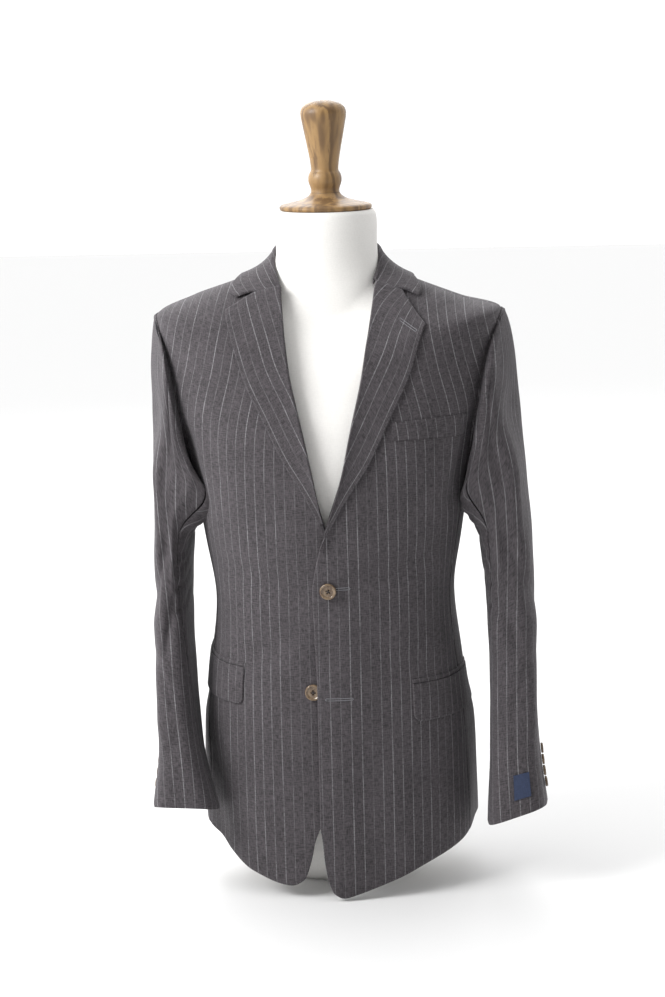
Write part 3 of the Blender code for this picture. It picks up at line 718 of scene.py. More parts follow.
@dataclass(frozen=True)
class WoodFinish(Finish):
    """Turned walnut: grain lines stretched along the turning's axis."""

    dark: Triple = (0.145, 0.08, 0.032)
    ring_scale: Triple = (26.0, 26.0, 7.0)
    pore_scale: Triple = (420.0, 420.0, 34.0)
    bend: float = 46.0  # grain lines from the slow noise's dark to its light, in radians
    depth: float = 0.00008

    def feeds(self, shader: Shader) -> dict[str, Socket]:
        """Draws the grain as a sine of slow noise, broken by fine noise.

        Args:
            shader: The tree to build in.

        Returns:
            What is fed to the shader's sockets.
        """
        place = shader.node("ShaderNodeTexCoord").outputs["Object"]
        bent = shader.streaks(place, self.ring_scale)
        fine = shader.streaks(place, self.pore_scale, 3.0, 0.6)
        phase = shader.math("MULTIPLY_ADD", bent, self.bend, shader.math("MULTIPLY", fine, 2.2))
        wave = shader.math("SINE", phase)
        share = shader.ramp(shader.math("MULTIPLY_ADD", wave, 0.3, fine), 0.1, 0.95, 0.0, 1.0)
        colour = shader.mix(share, self.dark, self.colour)
        rough = shader.ramp(fine, 0.2, 0.8, self.roughness, self.roughness + 0.1)
        return {"Base Color": colour, "Roughness": rough, "Normal": shader.bump(fine, self.depth)}


@dataclass(frozen=True)
class HornFinish(Finish):
    """Polished horn: pale streaks clouded into brown."""

    pale: Triple = (0.2, 0.14, 0.085)
    cloud_scale: Triple = (230.0, 70.0, 120.0)

    def feeds(self, shader: Shader) -> dict[str, Socket]:
        """Clouds the brown with pale streaks.

        Args:
            shader: The tree to build in.

        Returns:
            What is fed to the shader's sockets.
        """
        place = shader.node("ShaderNodeTexCoord").outputs["Object"]
        share = shader.ramp(shader.streaks(place, self.cloud_scale, 3.0), 0.36, 0.66, 0.0, 1.0)
        return {"Base Color": shader.mix(share, self.colour, self.pale)}


CHARCOAL = (0.0555, 0.0485, 0.0535)
WORSTED = StripedFinish("pinstripe_worsted", CHARCOAL, 0.88, sheen=0.12)
WELT_WORSTED = StripedFinish("pinstripe_worsted_welt", CHARCOAL, 0.88, sheen=0.12, shift=0.0045)
LINING = WovenFinish("jacket_lining", (0.03, 0.029, 0.034), 0.42, pitch=0.0005, fleck=0.1, height=0.00004)
JERSEY = WovenFinish(
    "form_jersey", (0.89, 0.875, 0.845), 0.95, sheen=0.12, pitch=0.0013, fleck=0.035, height=0.0001
)
LABEL_WEAVE = WovenFinish("label_weave", (0.022, 0.036, 0.085), 0.6, pitch=0.0006, fleck=0.2)
WALNUT = WoodFinish("turned_walnut", (0.33, 0.198, 0.078), 0.44, coat=0.05)
HORN = HornFinish("polished_horn", (0.1, 0.06, 0.034), 0.26, coat=0.3)
HOLE_THREAD = Finish("buttonhole_thread", (0.18, 0.18, 0.195), 0.7)
# Dark thread of the front and cuff buttons, and also the dark line along the welt's bottom seam, where it is
# painted shade of the crease.
SEW_THREAD_AND_SHADE = Finish("sewing_thread", (0.035, 0.03, 0.032), 0.8)
EDGE_THREAD = Finish("edge_thread", (0.125, 0.118, 0.128), 0.8)
FLOOR = Finish("floor", (0.77, 0.77, 0.77), 0.75)


# --- The worn surface ---


@dataclass(frozen=True)
class WornSurface:
    """The outside of the worn jacket, without sleeves, as rings round the torso."""

    rings: Table = Table("level side_z front_z back_z half_width front_depth back_depth square", (
        (0.000, 0.000, 0.000, 0.000, 0.172, 0.136, 0.133, 2.5),
        (0.084, 0.084, 0.084, 0.084, 0.172, 0.135, 0.132, 2.5),
        (0.184, 0.184, 0.184, 0.184, 0.169, 0.135, 0.129, 2.5),
        (0.264, 0.264, 0.264, 0.264, 0.161, 0.133, 0.119, 2.5),
        (0.364, 0.364, 0.364, 0.364, 0.1505, 0.128, 0.105, 2.45),
        (0.444, 0.444, 0.444, 0.444, 0.161, 0.133, 0.113, 2.45),
        (0.532, 0.532, 0.532, 0.532, 0.1775, 0.136, 0.123, 2.45),
        (0.594, 0.6, 0.582, 0.609, 0.192, 0.131, 0.126, 2.4),
        (0.654, 0.666, 0.624, 0.671, 0.205, 0.121, 0.119, 2.35),
        (0.704, 0.717, 0.656, 0.717, 0.213, 0.111, 0.107, 2.3),
        (0.744, 0.736, 0.68, 0.744, 0.169, 0.098, 0.092, 2.2),
        (0.784, 0.753, 0.701, 0.766, 0.121, 0.082, 0.08, 2.1),
        (0.824, 0.769, 0.719, 0.784, 0.079, 0.064, 0.07, 2.00),
    ))
    neck: float = 0.824
    shoulder: float = 0.704
    neck_lean: float = 0.025
    lean_rise: Ramp = Ramp(0.704, 0.05)
    mean_radius: float = 0.145
    ripples: Pair = (0.00028, 0.00022)  # heights of the two uneven ripples
    halvings: int = 36
    folds: tuple[Fold, ...] = (
        Fold((10, 0.389), (58, 0.439), 0.016, -0.003),
        Fold((-12, 0.384), (-60, 0.424), 0.016, -0.0028),
        Fold((14, 0.344), (52, 0.284), 0.018, -0.0026),
        Fold((-14, 0.349), (-50, 0.294), 0.018, -0.0024),
        Fold((62, 0.484), (70, 0.594), 0.012, -0.004),
        Fold((-63, 0.484), (-70, 0.584), 0.012, -0.004),
        Fold((98, 0.014), (92, 0.234), 0.022, 0.005),
        Fold((-96, 0.014), (-91, 0.234), 0.022, 0.0045),
        Fold((128, 0.044), (118, 0.314), 0.02, -0.0045),
        Fold((-126, 0.044), (-117, 0.314), 0.02, -0.004),
        Fold((-62, 0.06), (-66, 0.17), 0.024, -0.008),
        Fold((122, 0.454), (116, 0.584), 0.014, -0.005),
        Fold((-123, 0.464), (-115, 0.584), 0.014, -0.005),
        Fold((150, 0.384), (176, 0.354), 0.014, -0.003),
        Fold((-148, 0.374), (-175, 0.362), 0.014, -0.003),
        # fine drag lines from the button, and slack at the armholes and across the back
        Fold((7, 0.401), (30, 0.43), 0.006, -0.0012),
        Fold((-9, 0.397), (-31, 0.414), 0.006, -0.0012),
        Fold((9, 0.384), (36, 0.366), 0.006, -0.001),
        Fold((-10, 0.381), (-35, 0.36), 0.006, -0.001),
        Fold((56, 0.6), (49, 0.52), 0.008, -0.0015),
        Fold((-57, 0.596), (-50, 0.515), 0.008, -0.0015),
        Fold((34, 0.04), (29, 0.21), 0.02, 0.0016),
        Fold((-37, 0.045), (-33, 0.2), 0.02, 0.0014),
        Fold((62, 0.69), (44, 0.742), 0.01, -0.001),
        Fold((-61, 0.694), (-43, 0.74), 0.01, -0.001),
        Fold((168, 0.43), (124, 0.462), 0.009, -0.0016),
        Fold((-166, 0.438), (-126, 0.466), 0.009, -0.0014),
        Fold((170, 0.64), (124, 0.668), 0.013, -0.0014),
        Fold((-172, 0.632), (-126, 0.664), 0.013, -0.0012),
        Fold((104, 0.33), (126, 0.392), 0.008, -0.0014),
        Fold((-103, 0.34), (-124, 0.386), 0.008, -0.0014),
    )

    def radius(self, angle: Array, level: Array) -> Array:
        """Measures how far the torso reaches in plan.

        Args:
            angle, level: Places on the torso.

        Returns:
            A superellipse with its own depth front and back.
        """
        read = self.rings.read
        sine, cosine = np.abs(np.sin(angle)), np.cos(angle)
        depth = np.where(cosine > 0, read("front_depth", level), read("back_depth", level))
        power = read("square", level)
        across = sine / read("half_width", level)
        return (across**power + (np.abs(cosine) / depth) ** power) ** (-1 / power)

    def body(self, angle: Array, level: Array) -> Array:
        """Places points of the smooth surface.

        Args:
            angle, level: Places on the torso.

        Returns:
            Points whose height on a ring goes with the square of the cosine.
        """
        read = self.rings.read
        reach, cosine = self.radius(angle, level), np.cos(angle)
        side = read("side_z", level)
        end = np.where(cosine > 0, read("front_z", level), read("back_z", level))
        lean = self.neck_lean * self.lean_rise.at(np.asarray(level))
        height = side + (end - side) * cosine**2 - lean * reach * np.sin(angle)
        return np.stack([reach * np.sin(angle), -reach * cosine, height], -1)

    def outward(self, angle: Array, level: Array) -> Array:
        """Crosses small steps round and up the smooth surface.

        Args:
            angle, level: Places on the torso.

        Returns:
            Its unit normals.
        """
        step = 1e-3
        round_ = self.body(angle + step, level) - self.body(angle - step, level)
        above, below = np.minimum(level + step, self.neck), np.maximum(level - step, 0)
        return unit(np.cross(round_, self.body(angle, above) - self.body(angle, below)))

    def relief(self, angle: Array, level: Array) -> Array:
        """Adds up the folds and a slow uneven ripple.

        Args:
            angle, level: Places on the torso.

        Returns:
            The height over the smooth surface.
        """
        coarse, fine = self.ripples
        total = coarse * np.sin(7 * angle + 19 * level + 0.6) * np.sin(31 * level - 3 * angle)
        total = total + fine * np.sin(13 * angle - 47 * level + 1.9)
        for fold in self.folds:
            turn = angle - math.radians(fold.start[0])
            across = np.arctan2(np.sin(turn), np.cos(turn)) * self.mean_radius
            width = math.radians(fold.end[0] - fold.start[0]) * self.mean_radius
            total += fold.lift(across, level - fold.start[1], (width, fold.end[1] - fold.start[1]))
        return total

    def worn(self, angle: Array, level: Array, out: Array | float = 0.0) -> Arrays:
        """Places points of the surface with its folds.

        Args:
            angle, level: Places on the torso.
            out: How far they are moved out.

        Returns:
            The points and their normals.
        """
        angle, level = np.broadcast_arrays(angle, level)
        normal = self.outward(angle, level)
        lift = np.asarray(out + self.relief(angle, level))
        return self.body(angle, level) + normal * lift[..., None], normal

    def angle_at(self, offset: Array, level: Array) -> Array:
        """Finds an angle by halving.

        Args:
            offset: Distances from the centre plane.
            level: Levels up the torso.

        Returns:
            The angles at which the rings lie at these distances.
        """
        low = np.full(np.broadcast(offset, level).shape, -math.pi / 2)
        high = -low
        for _ in range(self.halvings):
            middle = (low + high) / 2
            short = self.radius(middle, level) * np.sin(middle) < offset
            low, high = np.where(short, middle, low), np.where(short, high, middle)
        return (low + high) / 2

    def warp(self, angle: Array, level: Array, start: float = 0.0) -> Array:
        """Measures round the rings, as a sum of 24 chords.

        Args:
            angle, level: Places on the torso.
            start: The angle to measure from.

        Returns:
            Signed distances.
        """
        share = np.linspace(0, 1, 25)[:, None, None]
        turn = start + (angle - start) * share
        points = self.body(turn, np.broadcast_to(level, turn.shape))
        length = np.linalg.norm(np.diff(points, axis=0), axis=-1).sum(axis=0)
        return length * np.sign(angle - start)


SURFACE = WornSurface()


# --- Jacket body ---


@dataclass
class JacketBody:
    """The two fronts, the two side bodies and the two half backs."""

    hem: float = 0.004
    hem_blend: float = 0.284  # rows are level again from here up
    underarm: float = 0.532
    armhole_widest: float = 0.594
    armhole_fore: float = math.radians(17.0)
    armhole_hind: float = math.radians(21.0)
    vent_top: float = 0.254
    vent_lap: float = math.radians(9.0)
    overlap_out: float = 0.0034  # the buttoned left front stands off the right one
    overlap_fades: tuple[Ramp, Ramp] = (Ramp(0.075, -0.055), Ramp(0.604, -0.12))  # with offset and level
    open_out: float = 0.0048  # its edge stands further off below the fastened button
    open_fades: tuple[Ramp, Ramp] = (Ramp(0.05, -0.05), Ramp(0.37, -0.07))
    vent_out: float = 0.003
    vent_blend: float = 0.03  # height over which the lap narrows to nothing
    vent_rise: float = 0.09  # how far above the lap the left back already stands out
    vent_reach: float = 0.5  # angle from the centre back over which it does
    skew: float = 0.0037  # the opening over the chest lies this far to the wearer's left
    skew_rise: Ramp = Ramp(0.454, 0.09)
    plane_rise: Ramp = Ramp(0.5, 0.17)  # where the warp turns from the rings to the centre plane
    fullness_rise: Ramp = Ramp(0.48, 0.26)
    fullness: Pair = (1.03, 0.1)  # cloth a distance from that plane, and its growth
    warp_lean: float = 0.17  # lean of a front's warp to the neck, and where it starts
    lean_start: float = 0.575
    seam_radii: Triple = (0.16, 0.17, 0.13)  # at the side, underarm and centre back
    columns: tuple[int, int, int] = (92, 56, 84)  # of a front, a side body and a back
    rows: tuple[int, int, int] = (104, 34, 26)  # in the skirt, along the armhole and the shoulder
    side_rows: int = 120
    ease: float = 0.55
    edge: Table = Table("level offset", (
        (0.000, -0.0155), (0.267, -0.0145), (0.389, -0.0185), (0.427, -0.0125), (0.474, 0.0018),
        (0.504, 0.0107), (0.546, 0.0208), (0.604, 0.0312), (0.684, 0.0452), (0.744, 0.0525),
        (0.824, 0.06),
    ))
    hem_left: Table = Table("angle height", (
        (-6.8, 0.102), (-5.4, 0.079), (-4.6, 0.053), (-2.9, 0.027), (0.0, 0.0105), (5.2, 0.004),
        (11.0, 0.007), (30.0, 0.023), (48.0, 0.042), (66.0, 0.055), (90.0, 0.066),
        (190.0, 0.07),
    ))
    hem_right: Table = Table("angle height", (
        (-6.8, 0.134), (2.0, 0.11), (9.2, 0.078), (11.6, 0.052), (15.5, 0.0255), (22.0, 0.017),
        (41.5, 0.032), (53.0, 0.051), (66.5, 0.065), (90.0, 0.074), (190.0, 0.07),
    ))

    def hem_rows(self, nominal: Array, angle: Array, side: Side) -> Array:
        """Bends a panel's rows, so that the lowest follows the hem.

        Args:
            nominal: The rows' levels without the hem.
            angle: Their angles.
            side: The wearer's side.

        Returns:
            Levels that even out higher up.
        """
        fade = np.clip((self.hem_blend - nominal) / (self.hem_blend - self.hem), 0, 1) ** 2
        table = self.hem_left if side is Side.LEFT else self.hem_right
        height = table.read("height", np.degrees(np.abs(angle)) * np.sign(angle * side))
        return nominal + (height - self.hem) * fade

    def armhole_edge(self, level: Array, widest: float) -> Array:
        """Angle between the side line and the armhole's upper half, or the side seam below it."""
        rise = (level - self.armhole_widest) / (SURFACE.shoulder - self.armhole_widest)
        return widest * np.sqrt(1 - np.clip(rise, 0, 1) ** 2)

    def front_edge(self, side: Side, level: Array) -> Array:
        """Distance of a front's edge, or of its roll line, from the centre front to its own side."""
        return self.edge.read("offset", level) + side * self.skew * self.skew_rise.at(level)

    def overlap(self, side: Side, offset: Array, level: Array) -> Array:
        """How far a front laps out over the other. Only the wearer's left one does.

        Args:
            side: The wearer's side.
            offset: Distances from the centre.
            level: Levels up the torso.

        Returns:
            Distances out.
        """
        if side is Side.RIGHT:
            return np.zeros(np.broadcast(offset, level).shape)
        near = self.overlap_fades[0].at(offset) * self.overlap_fades[1].at(level)
        open_ = self.open_fades[0].at(offset) * self.open_fades[1].at(level)
        return self.overlap_out * near + self.open_out * open_

    def armhole_levels(self, count: int) -> Array:
        """Levels from the armhole's widest place to the shoulder, closer near the top."""
        rise = np.sin(np.linspace(0, math.pi / 2, count))
        return self.armhole_widest + (SURFACE.shoulder - self.armhole_widest) * rise

    def column_levels(self) -> Array:
        """Spreads the rows of a long panel over the skirt, the armhole and the shoulder.

        Returns:
            Their nominal levels.
        """
        low, middle, high = self.rows
        skirt = self.hem + (self.armhole_widest - self.hem) * eased(low, 0.25)[:-1]
        shoulder = SURFACE.shoulder + (SURFACE.neck - SURFACE.shoulder) * eased(high, 0.4)[1:]
        return np.concatenate([skirt, self.armhole_levels(middle), shoulder])[:, None]

    def sheet(self, name: str, angle: Array, level: Array, out: Array, start: float, borders: tuple) -> Sheet:
        """Lays a panel, with its warp running up the rings.

        Args:
            name: Its name.
            angle, level: Places on the torso.
            out: How far it stands out.
            start: The angle of the centre front or back.
            borders: How its borders are worked.

        Returns:
            The panel.
        """
        points, normal = SURFACE.worn(angle, level, out)
        uv = np.stack([self.warp(angle, level, start, points), level], -1)
        return Sheet(name, points, normal, uv, borders)

    def warp(self, angle: Array, level: Array, start: float, points: Array) -> Array:
        """Measures across the warp.

        Up to the chest it is the length round the ring. From there it turns into the distance
        from the centre plane, and on a front it grows with height, so that the warp leans to the
        neck.

        Args:
            angle, level: Places on the torso.
            start: The angle of the centre front or back.
            points: The points there.

        Returns:
            Distances from the centre front or back.
        """
        along = SURFACE.warp(angle, level, start)
        share = self.plane_rise.at(level)
        rise = np.maximum(points[..., 2] - self.lean_start, 0)
        lean = self.warp_lean * rise**2 / (rise + 0.03) if start == 0.0 else rise * 0
        fullness = self.fullness[0] + self.fullness[1] * self.fullness_rise.at(level)
        plane = np.sign(along) * (np.abs(points[..., 0]) * fullness + lean)
        return along * (1 - share) + plane * share

    def front(self, side: Side) -> Sheet:
        """Cuts a front, from its edge or roll line to the side seam.

        Args:
            side: The wearer's side.

        Returns:
            The panel.
        """
        nominal = self.column_levels() + np.zeros(self.columns[0])
        inner = SURFACE.angle_at(self.front_edge(side, nominal[:, :1]), nominal[:, :1])
        outer = math.pi / 2 - self.armhole_edge(nominal[:, :1], self.armhole_fore) - SEAM / self.seam_radii[0]
        angle = side * (inner + (outer - inner) * eased(self.columns[0], self.ease))
        level = self.hem_rows(nominal, angle, side)
        offset = SURFACE.radius(angle, level) * np.sin(angle) * side
        out = self.overlap(side, offset, level)
        borders = (PRESSED, SEWN, PRESSED, SEWN)
        return self.sheet(f"front_{side.word}", angle, level, out, 0.0, borders)

    def side_body(self, side: Side) -> Sheet:
        """Cuts the panel under the arm.

        Args:
            side: The wearer's side.

        Returns:
            The panel, whose top edge is the lower half of the armhole.
        """
        turn = np.sin(np.linspace(-math.pi / 2, math.pi / 2, self.columns[1]))
        gap = SEAM / self.seam_radii[1]
        past = np.where(turn < 0, turn * (self.armhole_fore - gap), turn * (self.armhole_hind - gap))
        top = self.armhole_widest - (self.armhole_widest - self.underarm) * np.sqrt(1 - turn**2)
        nominal = self.hem + (top - self.hem) * eased(self.side_rows, 0.35)[:, None]
        angle = side * (math.pi / 2 + past) + np.zeros_like(nominal)
        level = self.hem_rows(nominal, angle, side)
        borders = (SEWN, SEWN, PRESSED, SEWN)
        return self.sheet(f"side_body_{side.word}", angle, level, np.zeros_like(level), 0.0, borders)

    def back(self, side: Side) -> Sheet:
        """Cuts a half back, to the centre seam.

        Args:
            side: The wearer's side.

        Returns:
            The panel. Below the vent's top the left one laps over the right.
        """
        nominal = self.column_levels()
        lap = self.vent_lap * smoothstep((self.vent_top - nominal) / self.vent_blend) * (side is Side.LEFT)
        outer = math.pi / 2 + self.armhole_edge(nominal, self.armhole_hind) + SEAM / self.seam_radii[0]
        inner = math.pi - SEAM / self.seam_radii[2] + lap
        angle = outer + (inner - outer) * eased(self.columns[2], self.ease)
        past = np.maximum(angle, math.pi - self.vent_reach) - (math.pi - self.vent_reach)
        rise = smoothstep((self.vent_top + self.vent_rise - nominal) / 0.06)
        out = self.vent_out * smoothstep(past / 0.4) * rise * (side is Side.LEFT)
        angle = angle * side
        level = self.hem_rows(nominal + np.zeros_like(angle), angle, side)
        borders = (SEWN, SEWN, PRESSED, SEWN)
        return self.sheet(f"back_{side.word}", angle, level, out, side * math.pi, borders)

    def build(self) -> dict[str, Sheet]:
        """Makes the six panels."""
        panels = [panel(side) for side in Side for panel in (self.front, self.side_body, self.back)]
        return dress(panels, WORSTED, LINING)


# --- Lapels and collar ---


@dataclass
class Lapels:
    """The two lapels, which turn over at the roll line and lie on the fronts."""

    jacket: JacketBody
    starts: dict[Side, float] = field(default_factory=lambda: {Side.LEFT: 0.446, Side.RIGHT: 0.478})
    tips: dict[Side, float] = field(default_factory=lambda: {Side.LEFT: 0.728, Side.RIGHT: 0.75})
    edge: Table = Table("level offset", (
        (0.446, -0.006), (0.462, 0.0018), (0.474, 0.0075), (0.504, 0.0232), (0.55, 0.0497),
        (0.613, 0.0766), (0.663, 0.0992), (0.71, 0.1136), (0.741, 0.1225),
    ))
    collar_tip: Pair = (0.1085, 0.774)
    gorge_sewn: float = 0.62
    gorge_share: float = 0.48
    out: float = 1.8 * LAYER + CLOTH
    roll: float = 0.004  # how far the fold stands off the chest
    roll_rise: Ramp = Ramp(0.0, 0.2)  # both with the height up the lapel
    curl_rise: Ramp = Ramp(0.0, 0.22)
    curl_start: float = 0.12  # share of the curl's height at the lapel's foot
    curl_columns: int = 14
    curl_depth: float = 0.62  # of half an ellipse, against half its height
    grid: tuple[int, int] = (60, 128)
    warp_length: float = 0.36
    warp_shift: float = 0.0052

    def gorge_line(self, side: Side, share: Array | float) -> list[Array]:
        """Follows the line from the roll line's top to the collar's tip.

        Args:
            side: The wearer's side.
            share: Shares of its length.

        Returns:
            Offset and level.
        """
        neck = SURFACE.neck
        start = (self.jacket.front_edge(side, np.array(neck)), neck)
        tip = (self.collar_tip[0] + side * self.jacket.skew, self.collar_tip[1])
        return [start[i] + (tip[i] - start[i]) * share for i in (0, 1)]

    def place(self, side: Side, across: Array, up: Array) -> Arrays:
        """Places a lapel's points between its roll line and its outer edge.

        The rows are straight from the roll to the edge. The top row is bent down to follow the
        gorge seam as far as the notch, and then the lapel's own top edge.

        Args:
            side: The wearer's side.
            across, up: Shares of the lapel's width and height.

        Returns:
            Offsets and levels.
        """
        first, tip_level, neck = self.starts[side], self.tips[side], SURFACE.neck
        jacket = self.jacket
        height = first + (neck - first) * up
        outer = first + (tip_level - first) * up
        skew = side * jacket.skew * jacket.skew_rise.at(outer)
        roll_offset, edge_offset = jacket.front_edge(side, height), self.edge.read("offset", outer) + skew
        offset = roll_offset + (edge_offset - roll_offset) * across
        level = height + (outer - height) * across
        sewn = self.gorge_line(side, self.gorge_sewn * np.clip(across / self.gorge_share, 0, 1))
        free = np.clip((across - self.gorge_share) / (1 - self.gorge_share), 0, 1)
        tip = (self.edge.read("offset", tip_level) + side * jacket.skew, tip_level)
        top = (jacket.front_edge(side, np.array(neck)), neck)
        bend = up**5
        straight = [top[i] + (tip[i] - top[i]) * across for i in (0, 1)]
        shifts = [sewn[i] + (tip[i] - sewn[i]) * free - straight[i] for i in (0, 1)]
        return offset + shifts[0] * bend, level + shifts[1] * bend

    def surface(self, side: Side, across: Array, up: Array) -> Arrays:
        """Lays a lapel's outer face over the chest.

        Args:
            side: The wearer's side.
            across, up: Shares of the lapel's width and height.

        Returns:
            Its points, and the chest's normals.
        """
        offset, level = self.place(side, across, up)
        roll = self.roll * np.exp(-3.5 * across) * self.roll_rise.at(up)
        lift = self.jacket.overlap(side, offset, level) + self.out + roll
        return SURFACE.worn(side * SURFACE.angle_at(offset, level), level, lift)

    def sheet(self, side: Side) -> Sheet:
        """Makes a lapel with its roll.

        The first columns curl from the front's inner face round to the outer face of the lapel,
        as half an ellipse whose height is the gap between the two.

        Args:
            side: The wearer's side.

        Returns:
            The lapel.
        """
        across, up = np.meshgrid(eased(self.grid[0], 0.5), eased(self.grid[1], 0.3))
        flat, chest = self.surface(side, across, up)
        first, normal = flat[:, :1], chest[:, :1]
        inward = unit(flat[:, :1] - flat[:, 1:2])
        grow = self.curl_start + (1 - self.curl_start) * self.curl_rise.at(up[:, :1])
        gap = (self.out + self.roll * self.roll_rise.at(up[:, :1]) + CLOTH * 0.9) * grow
        turn = np.linspace(math.pi, 0, self.curl_columns, endpoint=False)[None, :, None]
        half = gap[..., None] / 2
        bow = np.cos(turn) * normal + self.curl_depth * np.sin(turn) * inward
        curl = first - normal * half + half * bow
        points = np.concatenate([curl, flat], axis=1)
        normals = grid_normals(points, np.concatenate([curl * 0, chest], axis=1))
        width = chords(flat, 1)
        own = width[:, -1:] - width
        turned = width[:, -1:] + chords(curl[:, ::-1], 1)[:, ::-1] + 0.001
        level = np.concatenate([up[:, :1] + np.zeros(self.curl_columns), up], axis=1) * self.warp_length
        uv = np.stack([np.concatenate([turned, own], axis=1) - self.warp_shift, level], -1)
        borders = (RAW, PRESSED, RAW, PRESSED)
        return Sheet(f"lapel_{side.word}", points, normals, uv, borders)

    def build(self) -> dict[str, Sheet]:
        """Makes both lapels."""
        return dress([self.sheet(side) for side in Side], WORSTED)


@dataclass
class Collar:
    """The collar: a leaf on the shoulders, folded over at the top on to its stand."""

    lapels: Lapels
    sizes: Table = Table("angle fold_in fold_z edge_level", (
        (48.0, -0.0045, 0.751, 0.772),
        (66.0, 0.003, 0.772, 0.774),
        (90.0, 0.01, 0.7905, 0.798),
        (130.0, 0.008, 0.804, 0.794),
        (180.0, 0.0055, 0.81, 0.791),
    ))
    out: float = 1.8 * LAYER + CLOTH + 0.0009
    lap: float = 0.003  # how far the leaf's sewn end covers the lapel's
    gap: float = 0.0016  # between its free end and the notch
    end_radii: Pair = (0.079, 0.041)  # at the neck, and how much more at the tip
    free_rise: Ramp = Ramp(0.5, 0.16)  # with the share of the gorge line
    straight: float = 0.03  # how far from the centre back the warp runs straight down
    bend: float = 13.0  # how fast it then turns, in radians a metre, and how far
    most: float = math.radians(84)
    drop: float = 0.003  # from the fold line to the fold's inner edge
    fold_half: float = 0.0031
    inside: tuple[float, ...] = (0.004, 0.0028, 0.0016, 0.0004)  # the turned rows under the fold
    fold_rows: int = 12
    grid: tuple[int, int] = (44, 216)
    stand: float = 0.0016
    stand_end: float = math.radians(64.0)
    stand_grid: tuple[int, int] = (10, 150)
    stand_foot: Pair = (0.003, 0.001)  # how far in from the neck seam, and above it

    @staticmethod
    def signed(angle: Array) -> Array:
        """Angles past half a turn as negative ones."""
        return np.where(angle > math.pi, angle - 2 * math.pi, angle)

    def fold(self, angle: Array) -> Arrays:
        """Places the line on which the collar folds over, above the neck seam.

        Args:
            angle: Angles round the neck.

        Returns:
            Its points, and their directions in plan.
        """
        points = SURFACE.body(angle, np.full_like(angle, SURFACE.neck))
        plan = unit(points * np.array([1, 1, 0]))
        degrees = np.degrees(np.abs(angle))
        points = points - plan * self.sizes.read("fold_in", degrees)[..., None]
        points[..., 2] = self.sizes.read("fold_z", degrees) - SURFACE.neck_lean * points[..., 0]
        return points, plan

    def ends(self, side: Side, down: Array) -> Array:
        """Ends the leaf, row by row.

        The end follows the gorge line. Its sewn part laps over the lapel's top, and its free part
        draws back from it to leave the notch open.

        Args:
            side: The wearer's side.
            down: Shares of the way down the leaf.

        Returns:
            Angles.
        """
        share = down**2
        offset, level = self.lapels.gorge_line(side, share)
        shift = -self.lap + (self.lap + self.gap) * self.free_rise.at(share)
        return SURFACE.angle_at(offset, level) + shift / (self.end_radii[0] + self.end_radii[1] * share)

    def flat(self, along: Array, across: Array) -> Array:
        """Lays a leaf flat that is cut as a crescent.

        Up to a shoulder's width from the centre back the warp runs straight down the leaf. From
        there it turns, up to nearly a right angle at the ends.

        Args:
            along: Distances along the leaf.
            across: Distances down it.

        Returns:
            Distances across and along the warp.
        """
        straight, bend, most = self.straight, self.bend, self.most
        turn = np.clip((np.abs(along) - straight) * bend, 0, most)
        past = np.maximum(np.abs(along) - straight - most / bend, 0)
        run = np.minimum(np.abs(along), straight) + np.sin(turn) / bend + np.cos(most) * past
        rise = (1 - np.cos(turn)) / bend + np.sin(most) * past
        over = np.sign(along) * (run + np.sin(turn) * across)
        return np.stack([over, np.cos(turn) * across - rise], -1)

    def leaf(self) -> Sheet:
        """Makes the leaf, which rises from the shoulders to the fold and rounds over it to the inside.

        Below the fold each column blends from the fold line to the shoulders with the square of
        the way left. Over the fold it is half a circle in plan and height.

        Returns:
            The leaf.
        """
        down = eased(self.grid[0], 0.35)[:, None]
        left, right = self.ends(Side.LEFT, down), self.ends(Side.RIGHT, down)
        turn = left + (2 * math.pi - right - left) * eased(self.grid[1], 0.35)
        at_fold, at_edge = self.signed(turn[0]), self.signed(turn[-1])
        edge_level = self.sizes.read("edge_level", np.degrees(np.abs(at_edge)))
        level = SURFACE.neck + (edge_level - SURFACE.neck) * down**2
        surface, _ = SURFACE.worn(self.signed(turn), level, self.out)
        fold, plan = self.fold(at_fold)
        fold[:, 2] -= self.drop
        leaf = surface + (fold - surface[:1]) * ((1 - down) ** 2)[..., None]
        half = self.fold_half
        over = np.linspace(math.pi, 0, self.fold_rows, endpoint=False)[:, None, None]
        up = np.array([0.0, 0.0, 1.0])
        curl = leaf[:1] - plan * half + half * (np.cos(over) * plan + np.sin(over) * up)
        inside = curl[:1] - up * np.array(self.inside)[:, None, None]
        points = np.concatenate([inside, curl, leaf])
        outward = np.concatenate([inside * 0, curl * 0, plan + np.zeros_like(leaf)])
        normals = grid_normals(points, outward)
        along = chords(points, 1)
        middle = along[:, along.shape[1] // 2][:, None]
        away = chords(points, 0)
        top = len(inside) + len(curl)
        uv = self.flat(along - middle, away - away[top : top + 1])
        borders = (PRESSED, PRESSED, RAW, PRESSED)
        return Sheet("collar_leaf", points, normals, uv, borders)

    def stand_sheet(self) -> Sheet:
        """Makes the stand, from the neck seam up to under the fold.

        Returns:
            The stand.
        """
        rows, columns = self.stand_grid
        angle = self.signed(np.linspace(self.stand_end, 2 * math.pi - self.stand_end, columns))
        fold, plan = self.fold(angle)
        top = fold - plan * (CLOTH + LAYER + 0.0001) - np.array([0, 0, 0.002])
        foot = SURFACE.body(angle, np.full_like(angle, SURFACE.neck)) - plan * self.stand_foot[0]
        foot = foot + np.array([0, 0, self.stand_foot[1]])
        points = foot + (top - foot) * np.linspace(0, 1, rows)[:, None, None]
        along = chords(points, 1)
        middle = along[:, columns // 2][:, None]
        uv = np.stack([along - middle, chords(points, 0)], -1)
        borders = (RAW,) * 4
        return Sheet("collar_stand", points, plan + np.zeros_like(points), uv, borders, self.stand)

    def build(self) -> dict[str, Sheet]:
        """Makes the leaf and the stand."""
        return dress([self.leaf(), self.stand_sheet()], WORSTED)


# --- Sleeves ---

